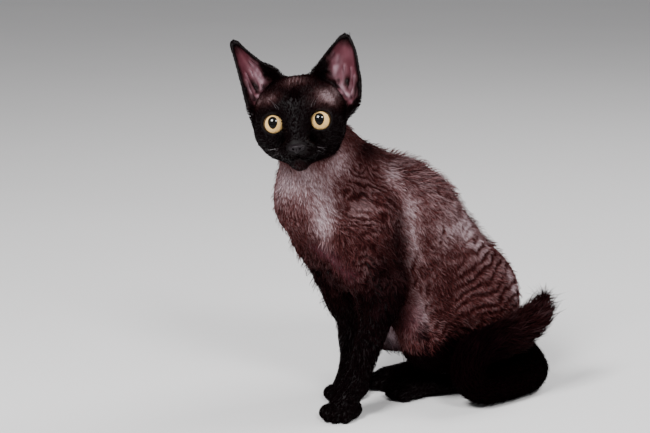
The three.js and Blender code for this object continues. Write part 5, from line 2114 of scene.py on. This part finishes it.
@dataclass
class Whiskers:
    """Short, bent whiskers on the muzzle and brows, made by a node tree along their paths."""

    head: Head
    place: Place
    seed: int = 12
    radius: float = 0.11  # at the root
    sides: int = 6

    def paths(self) -> list[Array]:
        """Lay out the whiskers.

        Returns:
            Their middle lines, in the head's frame.
        """
        draw = np.random.default_rng(self.seed)
        made = []
        for side in BOTH:
            for row in range(2):
                for column in range(3):
                    root = np.array([side * (8.5 + 2.4 * column), -37.5 + 3.6 * column, -24.5 - 2.6 * row])
                    way = unit(np.array([side * 0.95, 0.30 + 0.1 * column, 0.12 - 0.16 * row])
                               + 0.12 * draw.standard_normal(3))
                    droop = np.array([side * -0.05, 0.35, -0.45 + 0.5 * draw.random()])
                    length = 7 + 7 * draw.random()
                    made.append(self.strand(root, way, droop, length))
            for brow in range(2):
                root = np.array([side * (13 + 2.5 * brow), -30.5 + 1.5 * brow, 8.0 + brow])
                way = unit(np.array([side * (0.2 + 0.2 * brow), -0.55, 0.8]) + 0.1 * draw.standard_normal(3))
                made.append(self.strand(root, way, np.array([side * 0.3, 0.5, -0.1]), 9 + 4 * draw.random()))
        return made

    def pale_paths(self) -> list[Array]:
        """Return the one white whisker's middle line, in the head's frame."""
        root, way = np.array([-16.2, -16.2, -24.1]), unit(np.array([-0.95, -0.3, 0.06]))
        return [self.strand(root, way, np.zeros(3), 10.5)]

    def strand(self, root: Array, way: Array, droop: Array, length: float) -> Array:
        """Bend one strand away from its root.

        Args:
            root: Its root.
            way: The way it starts.
            droop: The way it bends.
            length: Its length.

        Returns:
            Its middle line.
        """
        t = np.linspace(-0.15, 1, 14)[:, None]
        bend = np.sin(t * 5.0) * 0.03 * length
        return root + way * t * length + droop * t * np.abs(t) * length * 0.45 + bend * (0, 0, 1.0)

    def tree(self, finish: Material) -> bpy.types.NodeTree:
        """Make the node tree that turns paths into tapered hairs.

        Args:
            finish: The hairs' material.

        Returns:
            The tree.
        """
        tree = bpy.data.node_groups.new("whisker_strands", "GeometryNodeTree")
        face = tree.interface
        face.new_socket("Paths", in_out="INPUT", socket_type="NodeSocketGeometry")
        face.new_socket("Root Radius", in_out="INPUT", socket_type="NodeSocketFloat")
        face.new_socket("Sides", in_out="INPUT", socket_type="NodeSocketInt")
        face.new_socket("Strands", in_out="OUTPUT", socket_type="NodeSocketGeometry")
        add = tree.nodes.new
        source, sink = add("NodeGroupInput"), add("NodeGroupOutput")
        to_curve, share = add("GeometryNodeMeshToCurve"), add("GeometryNodeSplineParameter")
        profile, sweep = add("GeometryNodeCurvePrimitiveCircle"), add("GeometryNodeCurveToMesh")
        taper = add("ShaderNodeMapRange")
        realize, dress = add("GeometryNodeRealizeInstances"), add("GeometryNodeSetMaterial")
        taper.inputs["To Min"].default_value = 1.0
        taper.inputs["To Max"].default_value = 0.15
        sweep.inputs["Fill Caps"].default_value = True
        dress.inputs["Material"].default_value = finish
        for giver, gift, taker, place in (
            (source, "Paths", to_curve, "Mesh"), (to_curve, "Curve", sweep, "Curve"),
            (share, "Factor", taper, "Value"), (taper, "Result", sweep, "Scale"),
            (source, "Root Radius", profile, "Radius"), (source, "Sides", profile, "Resolution"),
            (profile, "Curve", sweep, "Profile Curve"), (sweep, "Mesh", realize, "Geometry"),
            (realize, "Geometry", dress, "Geometry"), (dress, "Geometry", sink, "Strands"),
        ):
            tree.links.new(giver.outputs[gift], taker.inputs[place])
        return tree

    def make(self, name: str, lines: list[Array], finish: Material) -> Piece:
        """Make whiskers.

        Args:
            name: The piece's name.
            lines: Their middle lines, in the head's frame.
            finish: Their material.

        Returns:
            The object, a plain mesh.
        """
        paths = [self.place(self.head.out(line)) for line in lines]
        each = len(paths[0])
        edges = [(i * each + j, i * each + j + 1) for i in range(len(paths)) for j in range(each - 1)]
        guides = bpy.data.meshes.new("whisker_paths")
        guides.from_pydata(np.concatenate(paths).tolist(), edges, [])
        guide = stand("whisker_guide", guides)
        tree = self.tree(finish)
        modifier = guide.modifiers.new("strands", "NODES")
        modifier.node_group = tree
        sockets = {item.name: item.identifier for item in tree.interface.items_tree if item.in_out == "INPUT"}
        modifier[sockets["Root Radius"]] = self.radius * MM
        modifier[sockets["Sides"]] = self.sides
        mesh = bpy.data.meshes.new_from_object(guide.evaluated_get(bpy.context.evaluated_depsgraph_get()))
        guide.modifiers.clear()
        bpy.data.objects.remove(guide)
        mesh.name = name
        mesh.polygons.foreach_set("use_smooth", np.ones(len(mesh.polygons), bool))
        return stand(name, mesh)


@dataclass(frozen=True)
class WhiskerFinish:
    """Glossy hair, darker in places."""

    name: str = "whisker_hair"
    pale: Triple = (0.16, 0.13, 0.14)

    def material(self) -> Material:
        """Make the material."""
        graph = Graph(self.name)
        dark = tuple(0.35 * value for value in self.pale)
        graph.put("Base Color", graph.mix(graph.noise(400.0), self.pale, dark))
        graph.put("Roughness", 0.35)
        return graph.material


# Studio


@dataclass(frozen=True)
class View:
    """Where a thing stands round the cat, looking at it: degrees from its front, degrees up, and metres."""

    azimuth: float
    elevation: float
    distance: float

    def aim(self, thing: Piece, target: Array) -> None:
        """Set a camera or light here.

        Args:
            thing: The camera or light.
            target: What it looks at.
        """
        a, e = math.radians(self.azimuth), math.radians(self.elevation)
        back = np.array([math.sin(a) * math.cos(e), -math.cos(a) * math.cos(e), math.sin(e)])
        right = np.array([math.cos(a), math.sin(a), 0.0])
        up = np.cross(back, right)
        thing.location = target + back * self.distance
        thing.rotation_euler = Matrix(np.stack([right, up, back], axis=1).tolist()).to_euler()


@dataclass(frozen=True)
class Lamp:
    """A soft square light."""

    name: str
    view: View
    power: float
    size: float

    def make(self, target: Array) -> None:
        """Set the light.

        Args:
            target: What it looks at.
        """
        data = bpy.data.lights.new(self.name, "AREA")
        data.energy = self.power
        data.size = self.size
        self.view.aim(stand(self.name, data), target)


@dataclass
class Studio:
    """A plain pale floor, soft lights and the camera at the photo's angle."""

    view: View = View(58.0, 12.0, 1.5)
    lens: float = 96.59
    sensor: float = 36.0
    target: Triple = (-7, 0, 166)  # what the picture's middle looks at, in the cat's frame
    lamps: tuple[Lamp, ...] = (
        Lamp("key", View(26, 42, 2.0), 56.0, 0.56),
        Lamp("second", View(78, 40, 2.2), 28.0, 0.5),
        Lamp("rim", View(172, 48, 2.0), 24.0, 1.0),
    )
    air: Triple = (0.93, 0.93, 0.95)
    air_strength: float = 0.33
    floor_half: float = 30.0  # metres, past the picture's edges on every side

    def make(self, place: Place) -> None:
        """Set the floor, the lights and the camera.

        Args:
            place: Where the cat stands.
        """
        self.floor()
        target = place(np.array([self.target]))[0]
        for lamp in self.lamps:
            lamp.make(target)
        world = bpy.data.worlds.new("studio_air")
        world.use_nodes = True
        background = world.node_tree.nodes["Background"]
        background.inputs["Color"].default_value = (*self.air, 1.0)
        background.inputs["Strength"].default_value = self.air_strength
        bpy.context.scene.world = world
        camera = stand("camera", bpy.data.cameras.new("camera"))
        camera.data.sensor_width = self.sensor
        camera.data.lens = self.lens
        self.view.aim(camera, target)
        bpy.context.scene.camera = camera

    def floor(self) -> None:
        """Lay the flat floor."""
        graph = Graph("pale_floor")
        graph.put("Base Color", graph.mix(graph.noise(3.0), (0.80, 0.79, 0.79), (0.84, 0.83, 0.83)))
        graph.put("Roughness", 0.75)
        points = np.array([(-1, -1, 0), (1, -1, 0), (1, 1, 0), (-1, 1, 0)]) * self.floor_half
        ground = build("floor", points, np.array([[0, 1, 2, 3]]), graph.material)


# Assembly


def ride(piece: Piece, slot: str, *nodes: str) -> None:
    """Let a piece ride on the cat's body.

    Args:
        piece: The piece.
        slot: Not used.
        nodes: The nodes that it stands for, if any.
    """
    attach(piece, "root")
    if nodes:
        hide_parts(*nodes)
    log.info("%s: %d faces", piece.name, len(piece.data.polygons))


def main() -> None:
    """Build the cat and its studio."""
    logging.basicConfig(level=logging.INFO, format="%(name)s %(message)s")
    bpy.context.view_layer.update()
    body = Body()
    place = Place(body.head)
    markings = Markings(body)
    colours = CoatColours()
    Studio().make(place)
    skin = Skin(body, place, markings)
    ride(skin.make(SkinFinish(colours).material()), "coat", *Skin.nodes)
    hair = HairFinish(colours).material()
    for piece in Coat(body, skin, markings, place).make(hair):
        ride(piece, "coat")
    wet = EyeFinish().material()
    for side, name in EYE_NODES:
        ride(Eye(body.head, side, place).make(wet), "eye", name)
    ride(Nose(body.head, place).make(LeatherFinish().material()), "nose_leather", "nose")
    whiskers = Whiskers(body.head, place)
    ride(whiskers.make("whiskers", whiskers.paths(), WhiskerFinish().material()), "coat")
    pale = WhiskerFinish("pale_whisker_hair", (0.70, 0.66, 0.67))
    ride(whiskers.make("pale_whisker", whiskers.pale_paths(), pale.material()), "coat")


if __name__ == "__main__":
    main()
